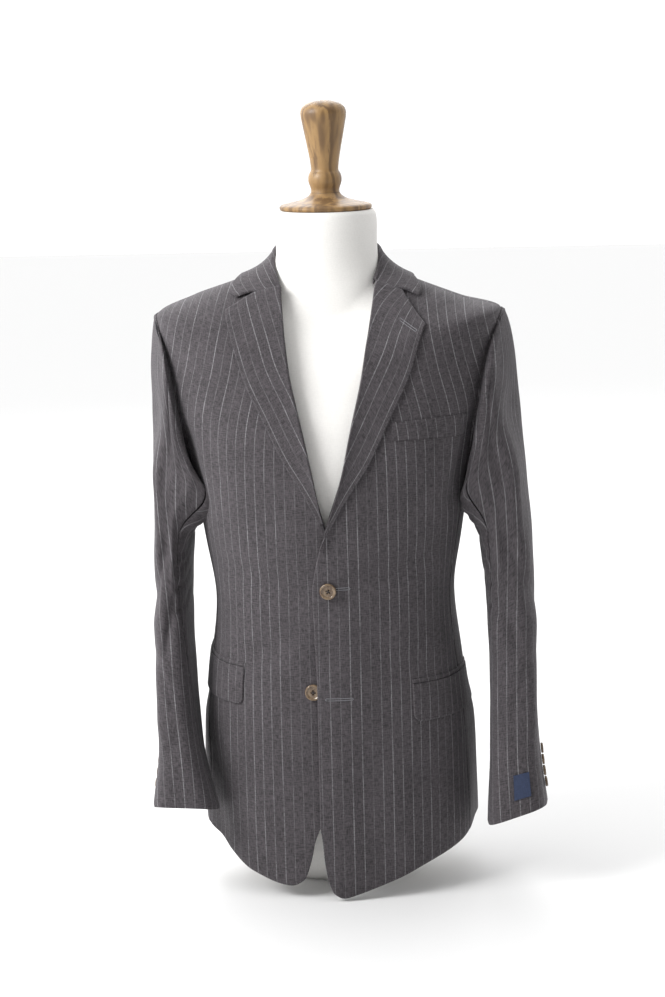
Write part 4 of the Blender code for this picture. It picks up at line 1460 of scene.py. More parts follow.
SECTION = "along outer_x outer_z inner_x inner_z fore_y hind_y fore_rise hind_seam fore_seam"


@dataclass
class Sleeves:
    """The sleeves, each an upper and an under piece sewn along the fore seam and the hind seam.

    A table has one row a section, from the armhole to the cuff. Outer and inner are the section's
    ends in the front view, fore and hind its ends in the side view. The seam angles run from the
    outer side (0) forwards.
    """

    jacket: JacketBody
    square: Pair = (2.3, 3.4)  # the sections' power behind, and in front
    head_end: float = 0.12
    swell: Pair = (0.02, 0.01)  # the head's fore half, inwards and forwards
    head_fades: tuple[Ramp, Ramp] = (Ramp(0.22, 0.16), Ramp(0.0, 0.8))  # down the sleeve, and round it
    sag: dict[Side, float] = field(default_factory=lambda: {Side.LEFT: 0.01, Side.RIGHT: 0.029})
    sag_at: float = 0.283  # where the cloth of the bend hangs in, and over what share above and below
    sag_reach: Pair = (0.12, 0.076)
    sag_turn: Triple = (132, 0.87, 1.8)  # its middle in degrees, width and cosine's rate
    tuck: float = 0.0032  # how far the head's seam edge lies under the body's edge
    tuck_end: float = 0.01
    tuck_radius: float = 0.19
    rim_out: Pair = (0.003, 0.0038)  # of the head over the body, and its drop at the seam
    rim_ease: float = 0.65  # how much less it drops at the shoulder
    seam_gap: Triple = (2.4, 1.4, 0.08)  # in seams: on the sleeve, and how much less at the armhole
    length: float = 0.62
    mean_radius: float = 0.055
    head_section: float = 0.2  # the section that a head's cloth is laid flat on
    flat_fade: Ramp = Ramp(0.14, 0.14)
    flat_lean: float = 0.06
    ripple: float = 0.00035
    roll: Triple = (0.0011, 0.028, 0.016)  # height, place and half of the head's ridge
    relief_rise: Ramp = Ramp(0.05, 0.1)
    head_rows: tuple[float, int] = (0.03, 10)
    rows: int = 142
    columns: tuple[int, int] = (104, 76)  # of an upper and an under piece
    under_middle: float = math.radians(200)
    left: Table = Table(SECTION, (
        (0.00, 0.2145, 0.717, 0.179, 0.533, -0.061, 0.066, 0.000, -75, 118),
        (0.05, 0.222, 0.707, 0.186, 0.525, -0.064, 0.07, 0.000, -75, 118),
        (0.12, 0.2275, 0.679, 0.186, 0.51, -0.069, 0.075, 0.000, -74, 118),
        (0.2, 0.2325, 0.634, 0.1845, 0.492, -0.073, 0.078, 0.000, -72, 119),
        (0.3, 0.2375, 0.574, 0.181, 0.466, -0.076, 0.077, 0.000, -68, 120),
        (0.4, 0.243, 0.509, 0.1825, 0.431, -0.078, 0.07, 0.003, -60, 124),
        (0.5, 0.249, 0.434, 0.1885, 0.384, -0.08, 0.058, 0.006, -48, 132),
        (0.62, 0.251, 0.354, 0.192, 0.326, -0.084, 0.045, 0.008, -34, 146),
        (0.74, 0.2515, 0.274, 0.194, 0.256, -0.093, 0.033, 0.01, -16, 166),
        (0.87, 0.255, 0.184, 0.193, 0.17, -0.105, 0.014, 0.011, 2, 186),
        (1.00, 0.265, 0.103, 0.189, 0.076, -0.118, -0.01, 0.012, 14, 198),
    ))
    right: Table = Table(SECTION, (
        (0.00, 0.2145, 0.717, 0.179, 0.533, -0.061, 0.066, 0.000, -75, 118),
        (0.05, 0.2195, 0.707, 0.186, 0.525, -0.064, 0.07, 0.000, -75, 118),
        (0.12, 0.2225, 0.679, 0.1855, 0.51, -0.069, 0.075, 0.000, -74, 118),
        (0.2, 0.225, 0.634, 0.183, 0.492, -0.073, 0.078, 0.000, -72, 119),
        (0.3, 0.225, 0.574, 0.1805, 0.466, -0.076, 0.077, 0.000, -69, 120),
        (0.4, 0.2235, 0.509, 0.1795, 0.431, -0.078, 0.07, 0.003, -62, 122),
        (0.5, 0.223, 0.434, 0.182, 0.384, -0.081, 0.057, 0.006, -54, 126),
        (0.62, 0.222, 0.355, 0.181, 0.33, -0.089, 0.039, 0.008, -46, 134),
        (0.74, 0.2195, 0.277, 0.1765, 0.263, -0.106, 0.018, 0.01, -36, 146),
        (0.87, 0.218, 0.1905, 0.1665, 0.184, -0.132, -0.022, 0.012, -26, 158),
        (1.00, 0.224, 0.1145, 0.1425, 0.112, -0.158, -0.072, 0.014, -18, 166),
    ))
    folds: tuple[Fold, ...] = (
        Fold((0.1, 60), (0.36, 78), 0.012, -0.0045),
        Fold((0.2, 20), (0.5, 44), 0.014, -0.0035),
        Fold((0.44, 95), (0.62, 40), 0.012, -0.004),
        Fold((0.56, 120), (0.7, 70), 0.012, -0.0045),
        Fold((0.62, 30), (0.86, 50), 0.014, 0.003),
        Fold((0.3, -60), (0.6, -40), 0.016, -0.005),
        Fold((0.62, -90), (0.74, -20), 0.014, -0.004),
        # fine crumples at the inner elbow and a few along the outside
        Fold((0.2, 176), (0.27, 128), 0.0055, -0.0018),
        Fold((0.26, 184), (0.33, 122), 0.005, -0.002),
        Fold((0.31, 158), (0.41, 118), 0.0045, -0.0018),
        Fold((0.38, 185), (0.45, 118), 0.0055, -0.0022),
        Fold((0.42, 172), (0.5, 106), 0.005, -0.002),
        Fold((0.47, 180), (0.54, 110), 0.0055, -0.002),
        Fold((0.52, 176), (0.61, 112), 0.006, -0.0022),
        Fold((0.33, 204), (0.4, 140), 0.006, -0.0022),
        Fold((0.16, 104), (0.56, 108), 0.006, 0.0024),
        Fold((0.55, 62), (0.62, 12), 0.0065, -0.0013),
        Fold((0.58, -12), (0.66, -70), 0.0075, -0.0018),
        Fold((0.7, 34), (0.8, 92), 0.008, -0.0015),
        Fold((0.84, 104), (0.92, 44), 0.008, -0.0013),
        Fold((0.09, 26), (0.22, 46), 0.007, -0.0011),
        Fold((0.1, -30), (0.22, -48), 0.007, -0.0012),
        Fold((0.48, -96), (0.56, -150), 0.007, -0.0016),
    )

    def table(self, side: Side) -> Table:
        """The sections of one side's sleeve."""
        return self.left if side is Side.LEFT else self.right

    def armhole(self, turn: Array, side: Side, along: Array) -> Array:
        """Follows the armhole's rim.

        At the seam itself the rim is let down into the body's wall and drawn under its edge.

        Args:
            turn: 0 at the shoulder and a quarter turn at the front.
            side: The wearer's side.
            along: Shares of the sleeve's length.

        Returns:
            Points.
        """
        jacket, cosine, sine = self.jacket, np.cos(turn), np.sin(turn)
        near = np.exp(-((along / self.tuck_end) ** 2))
        widest = jacket.armhole_widest
        reach = np.where(cosine > 0, SURFACE.shoulder - widest, widest - jacket.underarm) + self.tuck * near
        level = widest + reach * cosine
        past = np.where(sine > 0, jacket.armhole_fore, jacket.armhole_hind)
        past = past + self.tuck / self.tuck_radius * near
        out = self.rim_out[0] - self.rim_out[1] * near * (1 - self.rim_ease * smoothstep(cosine / 0.8))
        return SURFACE.worn(side * (math.pi / 2 - past * sine), level, out)[0]

    def surface(self, side: Side, turn: Array, along: Array) -> Array:
        """Places points of the smooth outer face.

        Args:
            side: The wearer's side.
            turn, along: Places on the sleeve.

        Returns:
            Sections that are superellipses through their four ends.
        """
        read = self.table(side).read
        zero = np.zeros_like(along)
        outer = np.stack([read("outer_x", along) * side, zero, read("outer_z", along)], -1)
        inner = np.stack([read("inner_x", along) * side, zero, read("inner_z", along)], -1)
        fore, hind = read("fore_y", along), read("hind_y", along)
        centre, half = (outer + inner) / 2, (outer - inner) / 2
        centre[..., 1] = (fore + hind) / 2
        cosine, sine = np.cos(turn), np.sin(turn)
        power = self.square[0] + (self.square[1] - self.square[0]) * smoothstep(sine / 0.5)
        scale = (np.abs(cosine) ** power + np.abs(sine) ** power) ** (-1 / power)
        points = centre + half * (cosine * scale)[..., None]
        points[..., 1] -= (hind - fore) / 2 * sine * scale
        points[..., 2] += read("fore_rise", along) * sine * scale
        head = (1 - self.head_fades[0].at(along)) * self.head_fades[1].at(sine)
        middle, width, rate = self.sag_turn
        away = np.clip(np.arctan2(sine, cosine) - math.radians(middle), -width, width)
        reach = np.where(along < self.sag_at, *self.sag_reach)
        low = np.exp(-(((along - self.sag_at) / reach) ** 2)) * np.cos(away * rate) ** 2
        points[..., 0] -= side * (self.swell[0] * head + self.sag[side] * low)
        points[..., 1] -= self.swell[1] * head
        share = smoothstep(along / self.head_end)[..., None]
        return self.armhole(turn, side, along) * (1 - share) + points * share

    def flat(self, side: Side, turn: Array, along: Array, points: Array, start: float) -> Array:
        """Lays a sleeve flat.

        Below the head it is the length round the section in plan. On the head a point first goes down
        the sleeve to the head's last section, so that the warp runs straight on into the seam.

        Args:
            side: The wearer's side.
            turn, along: Places on the sleeve.
            points: The points there.
            start: The angle of the piece's middle line.

        Returns:
            Distances across the warp from that line, and along it from the head.
        """
        read, last = self.table(side).read, self.head_section
        middle = [(read(f"outer_{axis}", last) + read(f"inner_{axis}", last)) / 2 for axis in "xz"]
        half_x = (read("outer_x", last) - read("inner_x", last)) / 2 + 0.012
        half_y = (read("hind_y", last) - read("fore_y", last)) / 2
        centre_y = (read("hind_y", last) + read("fore_y", last)) / 2
        rise = points[..., 2] - middle[1]
        over = (points[..., 0] * side - middle[0] + self.flat_lean * rise) / half_x
        ahead = (centre_y - points[..., 1]) / half_y
        straight = np.arctan2(ahead, over)
        straight = straight + 2 * math.pi * np.round((turn - straight) / (2 * math.pi))
        share = 1 - self.flat_fade.at(along)
        down = along * self.length * (1 - share) + (last * self.length - rise) * share
        turn = turn + (straight - turn) * share
        along = np.maximum(along, last)
        part = np.linspace(0, 1, 25)[:, None, None]
        rings = self.surface(side, start + (turn - start) * part, along + part * 0)
        across = np.linalg.norm(np.diff(rings[..., :2], axis=0), axis=-1).sum(axis=0) * np.sign(turn - start)
        return np.stack([across, down], -1)

    def relief(self, turn: Array, along: Array) -> Array:
        """Adds up the folds and a slow uneven ripple, which start below the head.

        Args:
            turn, along: Places on the sleeve.

        Returns:
            Heights.
        """
        total = self.ripple * np.sin(5 * turn + 23 * along) * np.sin(37 * along - 2 * turn)
        for fold in self.folds:
            away = turn - math.radians(fold.start[1])
            across = np.arctan2(np.sin(away), np.cos(away)) * self.mean_radius
            rise = math.radians(fold.end[1] - fold.start[1]) * self.mean_radius
            line = ((fold.end[0] - fold.start[0]) * self.length, rise)
            total += fold.lift((along - fold.start[0]) * self.length, across, line)
        height, place, half = self.roll
        head = height * np.exp(-(((along - place) / half) ** 2)) * smoothstep(0.4 + np.cos(turn))
        return total * self.relief_rise.at(along) + head

    def worn(self, side: Side, turn: Array, along: Array, out: Array | float = 0.0) -> Arrays:
        """Places points of a sleeve with its folds.

        Args:
            side: The wearer's side.
            turn, along: Places on the sleeve.
            out: How far they are moved out.

        Returns:
            The points and their normals.
        """
        turn, along = np.broadcast_arrays(turn, along)
        step = 1e-3
        round_ = self.surface(side, turn + step, along) - self.surface(side, turn - step, along)
        low, high = np.maximum(along - step, 0), np.minimum(along + step, 1)
        down = self.surface(side, turn, high) - self.surface(side, turn, low)
        normal = unit(np.cross(round_, down)) * side
        lift = np.asarray(out + self.relief(turn, along))
        return self.surface(side, turn, along) + normal * lift[..., None], normal

    def sheet(self, side: Side, piece: SleevePiece) -> Sheet:
        """Cuts a piece of a sleeve.

        Args:
            side: The wearer's side.
            piece: The upper or the under one.

        Returns:
            The piece, whose warp is measured round each section from its middle.
        """
        read = self.table(side).read
        end, count = self.head_rows
        below = end + (1 - end) * eased(self.rows, 0.1)
        along = np.concatenate([np.linspace(0, end, count)[:-1], below])[:, None]
        wide, less, reach = self.seam_gap
        seam = (wide - less * np.exp(-((along / reach) ** 2))) * SEAM / self.mean_radius
        hind, fore = np.radians(read("hind_seam", along)), np.radians(read("fore_seam", along))
        if piece is SleevePiece.UPPER:
            start, end, columns, middle = hind + seam, fore - seam, self.columns[0], 0.0
        else:
            start, end = fore + seam, hind + 2 * math.pi - seam
            columns, middle = self.columns[1], self.under_middle
        turn = start + (end - start) * eased(columns, 0.5)
        points, normal = self.worn(side, turn, along)
        uv = self.flat(side, turn, along + turn * 0, points, middle)
        borders = (SEWN, SEWN, SEWN, PRESSED)
        return Sheet(f"sleeve_{piece.value}_{side.word}", points, normal, uv, borders)

    def build(self) -> dict[str, Sheet]:
        """Makes both sleeves."""
        pieces = [self.sheet(side, piece) for side in Side for piece in SleevePiece]
        return dress(pieces, WORSTED, LINING)


# --- Pockets and label ---


@dataclass(frozen=True)
class Patch:
    """Where a small piece lies on the body: two angles, the level at the first and the rise."""

    start: float
    end: float
    level: float
    rise: float


@dataclass(frozen=True)
class Cut:
    """How a small piece is cut: its lower and upper edge from a patch's level, and its wall."""

    low: float
    high: float
    thickness: float
    grid: tuple[int, int]
    corner: float = 0.0
    borders: tuple = (PRESSED,) * 4


@dataclass
class Pockets:
    """The two flapped hip pockets with their jets, the breast pocket's welt and the cuff's label."""

    jacket: JacketBody
    sleeves: Sleeves
    flaps: dict[Side, Patch] = field(
        default_factory=lambda: {
            Side.LEFT: Patch(41.0, 91.0, 0.2715, -0.003),
            Side.RIGHT: Patch(44.5, 94.5, 0.292, 0.004),
        }
    )
    flap: Cut = Cut(-0.047, 0.0, CLOTH, (90, 40), 0.01, (PRESSED, PRESSED, PRESSED, RAW))
    flap_bow: float = 0.0007  # how far its free edge bows out
    jet: Cut = Cut(SEAM, SEAM + 0.0055, 0.0014, (90, 10))
    breast: Patch = Patch(33.0, 67.0, 0.58, -0.009)
    welt: Cut = Cut(0.0, 0.026, 0.0009, (80, 26), 0.0, (PRESSED, PRESSED, CREASED, PRESSED))
    ring_radius: float = 0.165
    lift: float = 0.0003  # gap under a patch
    label: tuple[float, float, float, float] = (0.922, 0.968, 64.0, 95.0)  # along and round the sleeve
    label_thickness: float = 0.001
    label_grid: tuple[int, int] = (30, 26)

    def patch(self, name: str, place: Patch, side: Side, cut: Cut) -> Sheet:
        """Lays a small piece on the body, its bottom corners rounded as quarter circles.

        Args:
            name: Its name.
            place: Where it lies.
            side: The wearer's side.
            cut: How it is cut.

        Returns:
            The piece.
        """
        across, up = np.meshgrid(*(eased(count, 0.45) for count in cut.grid))
        width = math.radians(place.end - place.start) * self.ring_radius
        corner = np.clip(1 - np.minimum(across, 1 - across) * width / max(cut.corner, 1e-6), 0, 1)
        lift = cut.corner * (1 - np.sqrt(1 - corner**2))
        level = place.level + place.rise * across + cut.low + lift + (cut.high - cut.low - lift) * up
        angle = side * np.radians(place.start + (place.end - place.start) * across)
        proud = self.flap_bow * np.sin(math.pi * across) * (1 - up) if cut.corner else 0.0
        points, normal = SURFACE.worn(angle, level, self.lift + cut.thickness + proud)
        uv = np.stack([self.jacket.warp(angle, level, 0.0, points), level], -1)
        return Sheet(name, points, normal, uv, cut.borders, cut.thickness)

    def build(self) -> dict[str, Sheet]:
        """Makes the flaps, jets, welt and label.

        Returns:
            The sheets by name.
        """
        laid = []
        for side in Side:
            for word, cut in (("flap", self.flap), ("jet", self.jet)):
                laid.append(self.patch(f"pocket_{word}_{side.word}", self.flaps[side], side, cut))
        sheets = dress(laid, WORSTED)
        sheets |= dress([self.patch("breast_welt", self.breast, Side.LEFT, self.welt)], WELT_WORSTED)
        first, last, start, end = self.label
        round_, down = self.label_grid
        turn, along = np.meshgrid(np.radians(np.linspace(start, end, round_)), np.linspace(first, last, down))
        points, normal = self.sleeves.worn(Side.LEFT, turn, along, self.lift + self.label_thickness)
        uv = np.stack([chords(points, 1), chords(points, 0)], -1)
        label = Sheet("cuff_label", points, normal, uv, (RAW,) * 4, self.label_thickness)
        attach(label.build(LABEL_WEAVE), "label", "cuff_label")
        return {**sheets, "cuff_label": label}


# --- Buttons and stitching ---


@dataclass(frozen=True)
class ButtonSize:
    """A sew-through button: a raised rim round a shallow well, with four holes."""

    diameter: float
    thickness: float
    hole: float
    spread: float  # from the centre to each hole
    well: float = 0.66  # its height, as a share of the thickness
    well_rings: int = 30
    around: int = 96
    edge: Table = Table("reach height", (  # of the rim and the underside, as shares
        (0.68, 0.72), (0.74, 0.88), (0.8, 0.97), (0.86, 1.0), (0.92, 0.96), (0.965, 0.84),
        (0.99, 0.66), (1.0, 0.45), (0.985, 0.24), (0.94, 0.07), (0.88, 0.0), (0.5, 0.0),
        (0.02, 0.0),
    ))
    strand: Pair = (0.00022, 0.00026)  # half the distance of two strands, half of one's width
    strand_rise: float = 0.0006  # over the well, with how much more for the second pair
    strand_step: float = 0.0002
    strand_dip: float = 0.0016

    def rings(self) -> Array:
        """Rings from the middle of the top, over the rim, to the middle of the flat underside.

        The well is level and the rim is a rounded ridge. Each hole is a bell sunk in the well.

        Returns:
            Points by rings.
        """
        half, thick = self.diameter / 2, self.thickness
        rim = np.array(self.edge.rows)
        share = np.concatenate([np.linspace(0.02, 0.62, self.well_rings), rim[:, 0]])
        height = np.concatenate([np.full(self.well_rings, self.well), rim[:, 1]]) * thick
        turn = np.linspace(0, 2 * math.pi, self.around, endpoint=False)
        x, y = half * share[:, None] * np.cos(turn), half * share[:, None] * np.sin(turn)
        z = height[:, None] + np.zeros_like(x)
        top = (np.arange(len(share)) < self.well_rings)[:, None]
        for i in range(4):
            way = math.pi / 4 + i * math.pi / 2
            near = np.hypot(x - self.spread * math.cos(way), y - self.spread * math.sin(way))
            z = z - top * 0.5 * thick * smoothstep((self.hole * 1.25 - near) / (self.hole * 0.5))
        return np.stack([x, y, z], -1)

    def threads(self) -> Arrays:
        """Crosses two pairs of sewing strands over the well, each dipping into two holes.

        Returns:
            The points and the faces.
        """
        parts, well = [], self.thickness * self.well
        run = np.linspace(-1, 1, 15)
        dip = self.strand_dip * np.clip(np.abs(run) - 0.75, 0, 1) / 0.25
        apart, half = self.strand
        for i in range(2):
            way = math.pi / 4 + i * math.pi / 2
            height = well + self.strand_rise + self.strand_step * i - dip
            for shift in (-apart, apart):
                x = run * self.spread * math.cos(way) - shift * math.sin(way)
                y = run * self.spread * math.sin(way) + shift * math.cos(way)
                parts.append(tube(np.stack([x, y, height], -1), np.array([[0.0, 0.0, 1.0]]), half, 6))
        return join(parts)


@dataclass
class Fastenings:
    """The front and cuff buttons, and the buttonholes in the left front and the left lapel."""

    jacket: JacketBody
    lapels: Lapels
    sleeves: Sleeves
    front_size: ButtonSize = ButtonSize(0.0204, 0.004, 0.001, 0.0021)
    cuff_size: ButtonSize = ButtonSize(0.0132, 0.003, 0.0007, 0.0014)
    top: Pair = (0.0011, 0.3943)  # offset and level, on the left front
    low: Pair = (0.02, 0.2673)  # on the right front
    front_turns: Pair = (0.35, 0.8)
    cuff_count: int = 4
    cuff_place: Pair = (0.955, 0.2)  # along the sleeve, and round it from the hind seam
    cuff_pitch: float = 0.0215
    cuff_turns: Pair = (0.4, 0.5)  # the first's, and from each to the next
    gap: float = 0.001
    hole_thread: float = 0.00042  # half its width
    hole_half: float = 0.00125
    hole_lift: float = 0.00008
    lapel_hole_half: float = 0.0012
    lapel_hole_lift: float = 0.00025
    top_hole: Triple = (-0.004, 0.0262, 0.3962)  # ends and level
    low_hole: Triple = (-0.0034, 0.0271, 0.2597)
    lapel_hole: tuple[Pair, Pair] = ((0.0915, 0.7527), (0.1114, 0.7217))

    def button(self, name: str, size: ButtonSize, point: Array, normal: Array, turned: float) -> None:
        """Makes a button just clear of the cloth, and the thread that sews it on.

        Args:
            name: Its name.
            size: Its size.
            point: Its place on the cloth.
            normal: The cloth's normal there.
            turned: How far it is turned.
        """
        seat = Vector(point + normal * self.gap)
        way = Vector(normal).to_track_quat("Z", "Y").to_matrix()
        place = np.array(way @ Matrix.Rotation(turned, 3, "Z"))
        for part, (points, faces), finish, slot in (
            ("horn", closed_grid(size.rings()), HORN, "horn"),
            ("thread", size.threads(), SEW_THREAD_AND_SHADE, "wool"),
        ):
            moved = points @ place.T + np.array(seat)
            piece = make_piece(f"{name}_{part}", moved, faces, [finish], sharp=40.0)
            attach(piece, slot, *([name] if part == "horn" else []))

    def slot_hole(self, name: str, path: Array, normal: Array) -> Piece:
        """A worked buttonhole: a loop of thick thread round a narrow slit."""
        piece = make_piece(name, *tube(path, normal, self.hole_thread), [HOLE_THREAD])
        return attach(piece, "wool")

    @staticmethod
    def loop(ends: Arrays, half: float) -> Arrays:
        """A long loop between two places: its two straights and its round ends.

        Args:
            ends: The two places as pairs.
            half: Half of the loop's width.

        Returns:
            Its two coordinates.
        """
        first, last = (np.array(end, float) for end in ends)
        way = (last - first) / np.linalg.norm(last - first)
        aside = np.array([-way[1], way[0]])
        turn = np.linspace(-math.pi / 2, math.pi / 2, 9)
        cap = np.outer(np.cos(turn), way) * half + np.outer(np.sin(turn), aside) * half
        straight = np.linspace(0, 1, 26)[1:-1, None]
        there = first - aside * half + (last - first) * straight
        back = last + aside * half + (first - last) * straight
        closed = np.concatenate([there, last + cap, back, first - cap, there[:1]])
        return closed[:, 0], closed[:, 1]

    def build(self) -> dict[str, list[Piece]]:
        """Makes the buttons and the buttonholes.

        Returns:
            The buttonholes by the sheet that each goes with.
        """
        level = np.array([self.top[1]])
        angle = SURFACE.angle_at(np.array([self.top[0]]), level)
        lift = self.jacket.overlap(Side.LEFT, np.array([self.top[0]]), level)
        point, normal = SURFACE.worn(angle, level, lift)
        self.button("button_top", self.front_size, point[0], normal[0], self.front_turns[0])
        level = np.array([self.low[1]])
        point, normal = SURFACE.worn(-SURFACE.angle_at(np.array([self.low[0]]), level), level)
        self.button("button_low", self.front_size, point[0], normal[0], self.front_turns[1])
        down, round_ = self.cuff_place
        first, step = self.cuff_turns
        for side in Side:
            for i in range(self.cuff_count):
                along = np.array([down - self.cuff_pitch * i])
                turn = np.radians(self.sleeves.table(side).read("hind_seam", along)) + round_
                point, normal = self.sleeves.worn(side, turn, along)
                name = f"cuff_button_{side.word}_{i + 1}"
                self.button(name, self.cuff_size, point[0], normal[0], first + step * i)
        holes = []
        for word, (start, end, level) in (("top", self.top_hole), ("low", self.low_hole)):
            offset, height = self.loop(((start, level), (end, level)), self.hole_half)
            lift = self.jacket.overlap(Side.LEFT, offset, height) + self.hole_lift
            place = SURFACE.worn(SURFACE.angle_at(offset, height), height, lift)
            holes.append(self.slot_hole(f"buttonhole_{word}", *place))
        offset, height = self.loop(self.lapel_hole, self.lapel_hole_half)
        lift = self.lapels.out + self.lapel_hole_lift
        place = SURFACE.worn(SURFACE.angle_at(offset, height), height, lift)
        lapel = self.slot_hole("buttonhole_lapel", *place)
        return {"front_left": holes, "lapel_left": [lapel]}


@dataclass
class EdgeStitching:
    """Pick stitches a little inside the pressed edges, and a dark line of thread along the welt's bottom seam
    that is painted shade of its crease.
    """

    inset: float = 0.0022
    seam_inset: float = 0.0004  # of the dark thread line under the welt: the seam is real, its darkness is painted shade of the crease
    pitch: float = 0.0042
    length: float = 0.002
    seam_pitch: float = 0.0021
    seam_length: float = 0.0026
    half: float = 0.00022
    break_level: float = 0.43  # above it a front's edge is its roll line, with no stitches
    bar: Table = Table("place reach", ((-1.0, 0.25), (-0.72, 0.8), (0.0, 1.0), (0.72, 0.8), (1.0, 0.25)))
    around: int = 6

    def along_border(self, sheet: Sheet, border: Edge, inset: float) -> Arrays:
        """Follows a border of a sheet's outer face.

        Args:
            sheet: The sheet.
            border: Which border.
            inset: How far inside it.

        Returns:
            Points and normals.
        """
        grid, normal = sheet.dipped(), sheet.normal
        if border in (Edge.TOP, Edge.BOTTOM):
            grid, normal = grid.transpose(1, 0, 2), normal.transpose(1, 0, 2)
        if border in (Edge.LAST, Edge.TOP):
            grid, normal = grid[:, ::-1], normal[:, ::-1]
        reach = chords(grid, 1)
        column = np.argmax(reach > inset, axis=1)
        rows = np.arange(len(grid))
        before = np.maximum(column - 1, 0)
        share = (inset - reach[rows, before]) / np.maximum(reach[rows, column] - reach[rows, before], 1e-9)
        share = np.clip(share, 0, 1)[:, None]
        line = grid[rows, before] * (1 - share) + grid[rows, column] * share
        return line, normal[rows, column]

    def run(self, line: Array, normal: Array, pitch: float, length: float) -> Arrays:
        """Sews along a line: each stitch is a small rounded bar, sunk by half into the cloth.

        Args:
            line: The line's points.
            normal: Their normals.
            pitch: From a stitch to the next.
            length: Of a stitch.

        Returns:
            The points and the faces.
        """
        steps = np.linalg.norm(np.diff(line, axis=0), axis=1)
        way = np.concatenate([[0], np.cumsum(steps)])
        middle = np.arange(pitch, way[-1] - pitch, pitch)
        at = [np.interp(middle, way, line[:, i]) for i in range(3)]
        up = unit(np.stack([np.interp(middle, way, normal[:, i]) for i in range(3)], -1))
        ahead = [np.interp(middle + 0.001, way, line[:, i]) for i in range(3)]
        centre = np.stack(at, -1)
        forward = unit(np.stack(ahead, -1) - centre)
        aside = np.cross(forward, up)
        place, reach = np.array(self.bar.rows).T
        reach = reach * self.half
        turn = np.linspace(0, 2 * math.pi, self.around, endpoint=False)
        x = np.cos(turn)[None, None, :, None] * aside[:, None, None]
        y = np.sin(turn)[None, None, :, None] * up[:, None, None]
        along = forward[:, None, None] * (place * length / 2)[None, :, None, None]
        rings = centre[:, None, None] + along + (x + y) * reach[None, :, None, None]
        points, faces = closed_grid(rings[0])
        one = faces[None] + (np.arange(len(rings)) * len(points))[:, None, None]
        return rings.reshape(-1, 3), outward_faces(rings.reshape(-1, 3), one.reshape(-1, 4))

    def build(self, sheets: dict[str, Sheet]) -> dict[str, list[Piece]]:
        """Stitches the edges.

        Args:
            sheets: The sheets by name.

        Returns:
            The stitches of each sheet that has them.
        """
        plan = {
            "front_left": (Edge.FIRST, Edge.BOTTOM),
            "front_right": (Edge.FIRST, Edge.BOTTOM),
            "lapel_left": (Edge.LAST, Edge.TOP),
            "lapel_right": (Edge.LAST, Edge.TOP),
            "collar_leaf": (Edge.TOP, Edge.FIRST, Edge.LAST),
            "pocket_flap_left": (Edge.FIRST, Edge.LAST, Edge.BOTTOM),
            "pocket_flap_right": (Edge.FIRST, Edge.LAST, Edge.BOTTOM),
            "breast_welt": (Edge.FIRST, Edge.LAST),
        }
        made = {}
        for name, borders in plan.items():
            lines = [self.along_border(sheets[name], border, self.inset) for border in borders]
            if name.startswith("front"):
                line, normal = lines[0]
                below = line[:, 2] < self.break_level
                lines[0] = (line[below], normal[below])
            stitches = join([self.run(line, normal, self.pitch, self.length) for line, normal in lines])
            made[name] = [attach(make_piece(f"{name}_stitches", *stitches, [EDGE_THREAD]), "wool")]
        # The welt's bottom seam as one unbroken dark thread line, its stitches longer than their pitch: the
        # seam is real, the dark line is painted shade of its crease.
        line, normal = self.along_border(sheets["breast_welt"], Edge.BOTTOM, self.seam_inset)
        seam = self.run(line, normal, self.seam_pitch, self.seam_length)
        made["breast_welt"].append(attach(make_piece("breast_welt_seam", *seam, [SEW_THREAD_AND_SHADE]), "wool"))
        return made


# --- Dress form ---


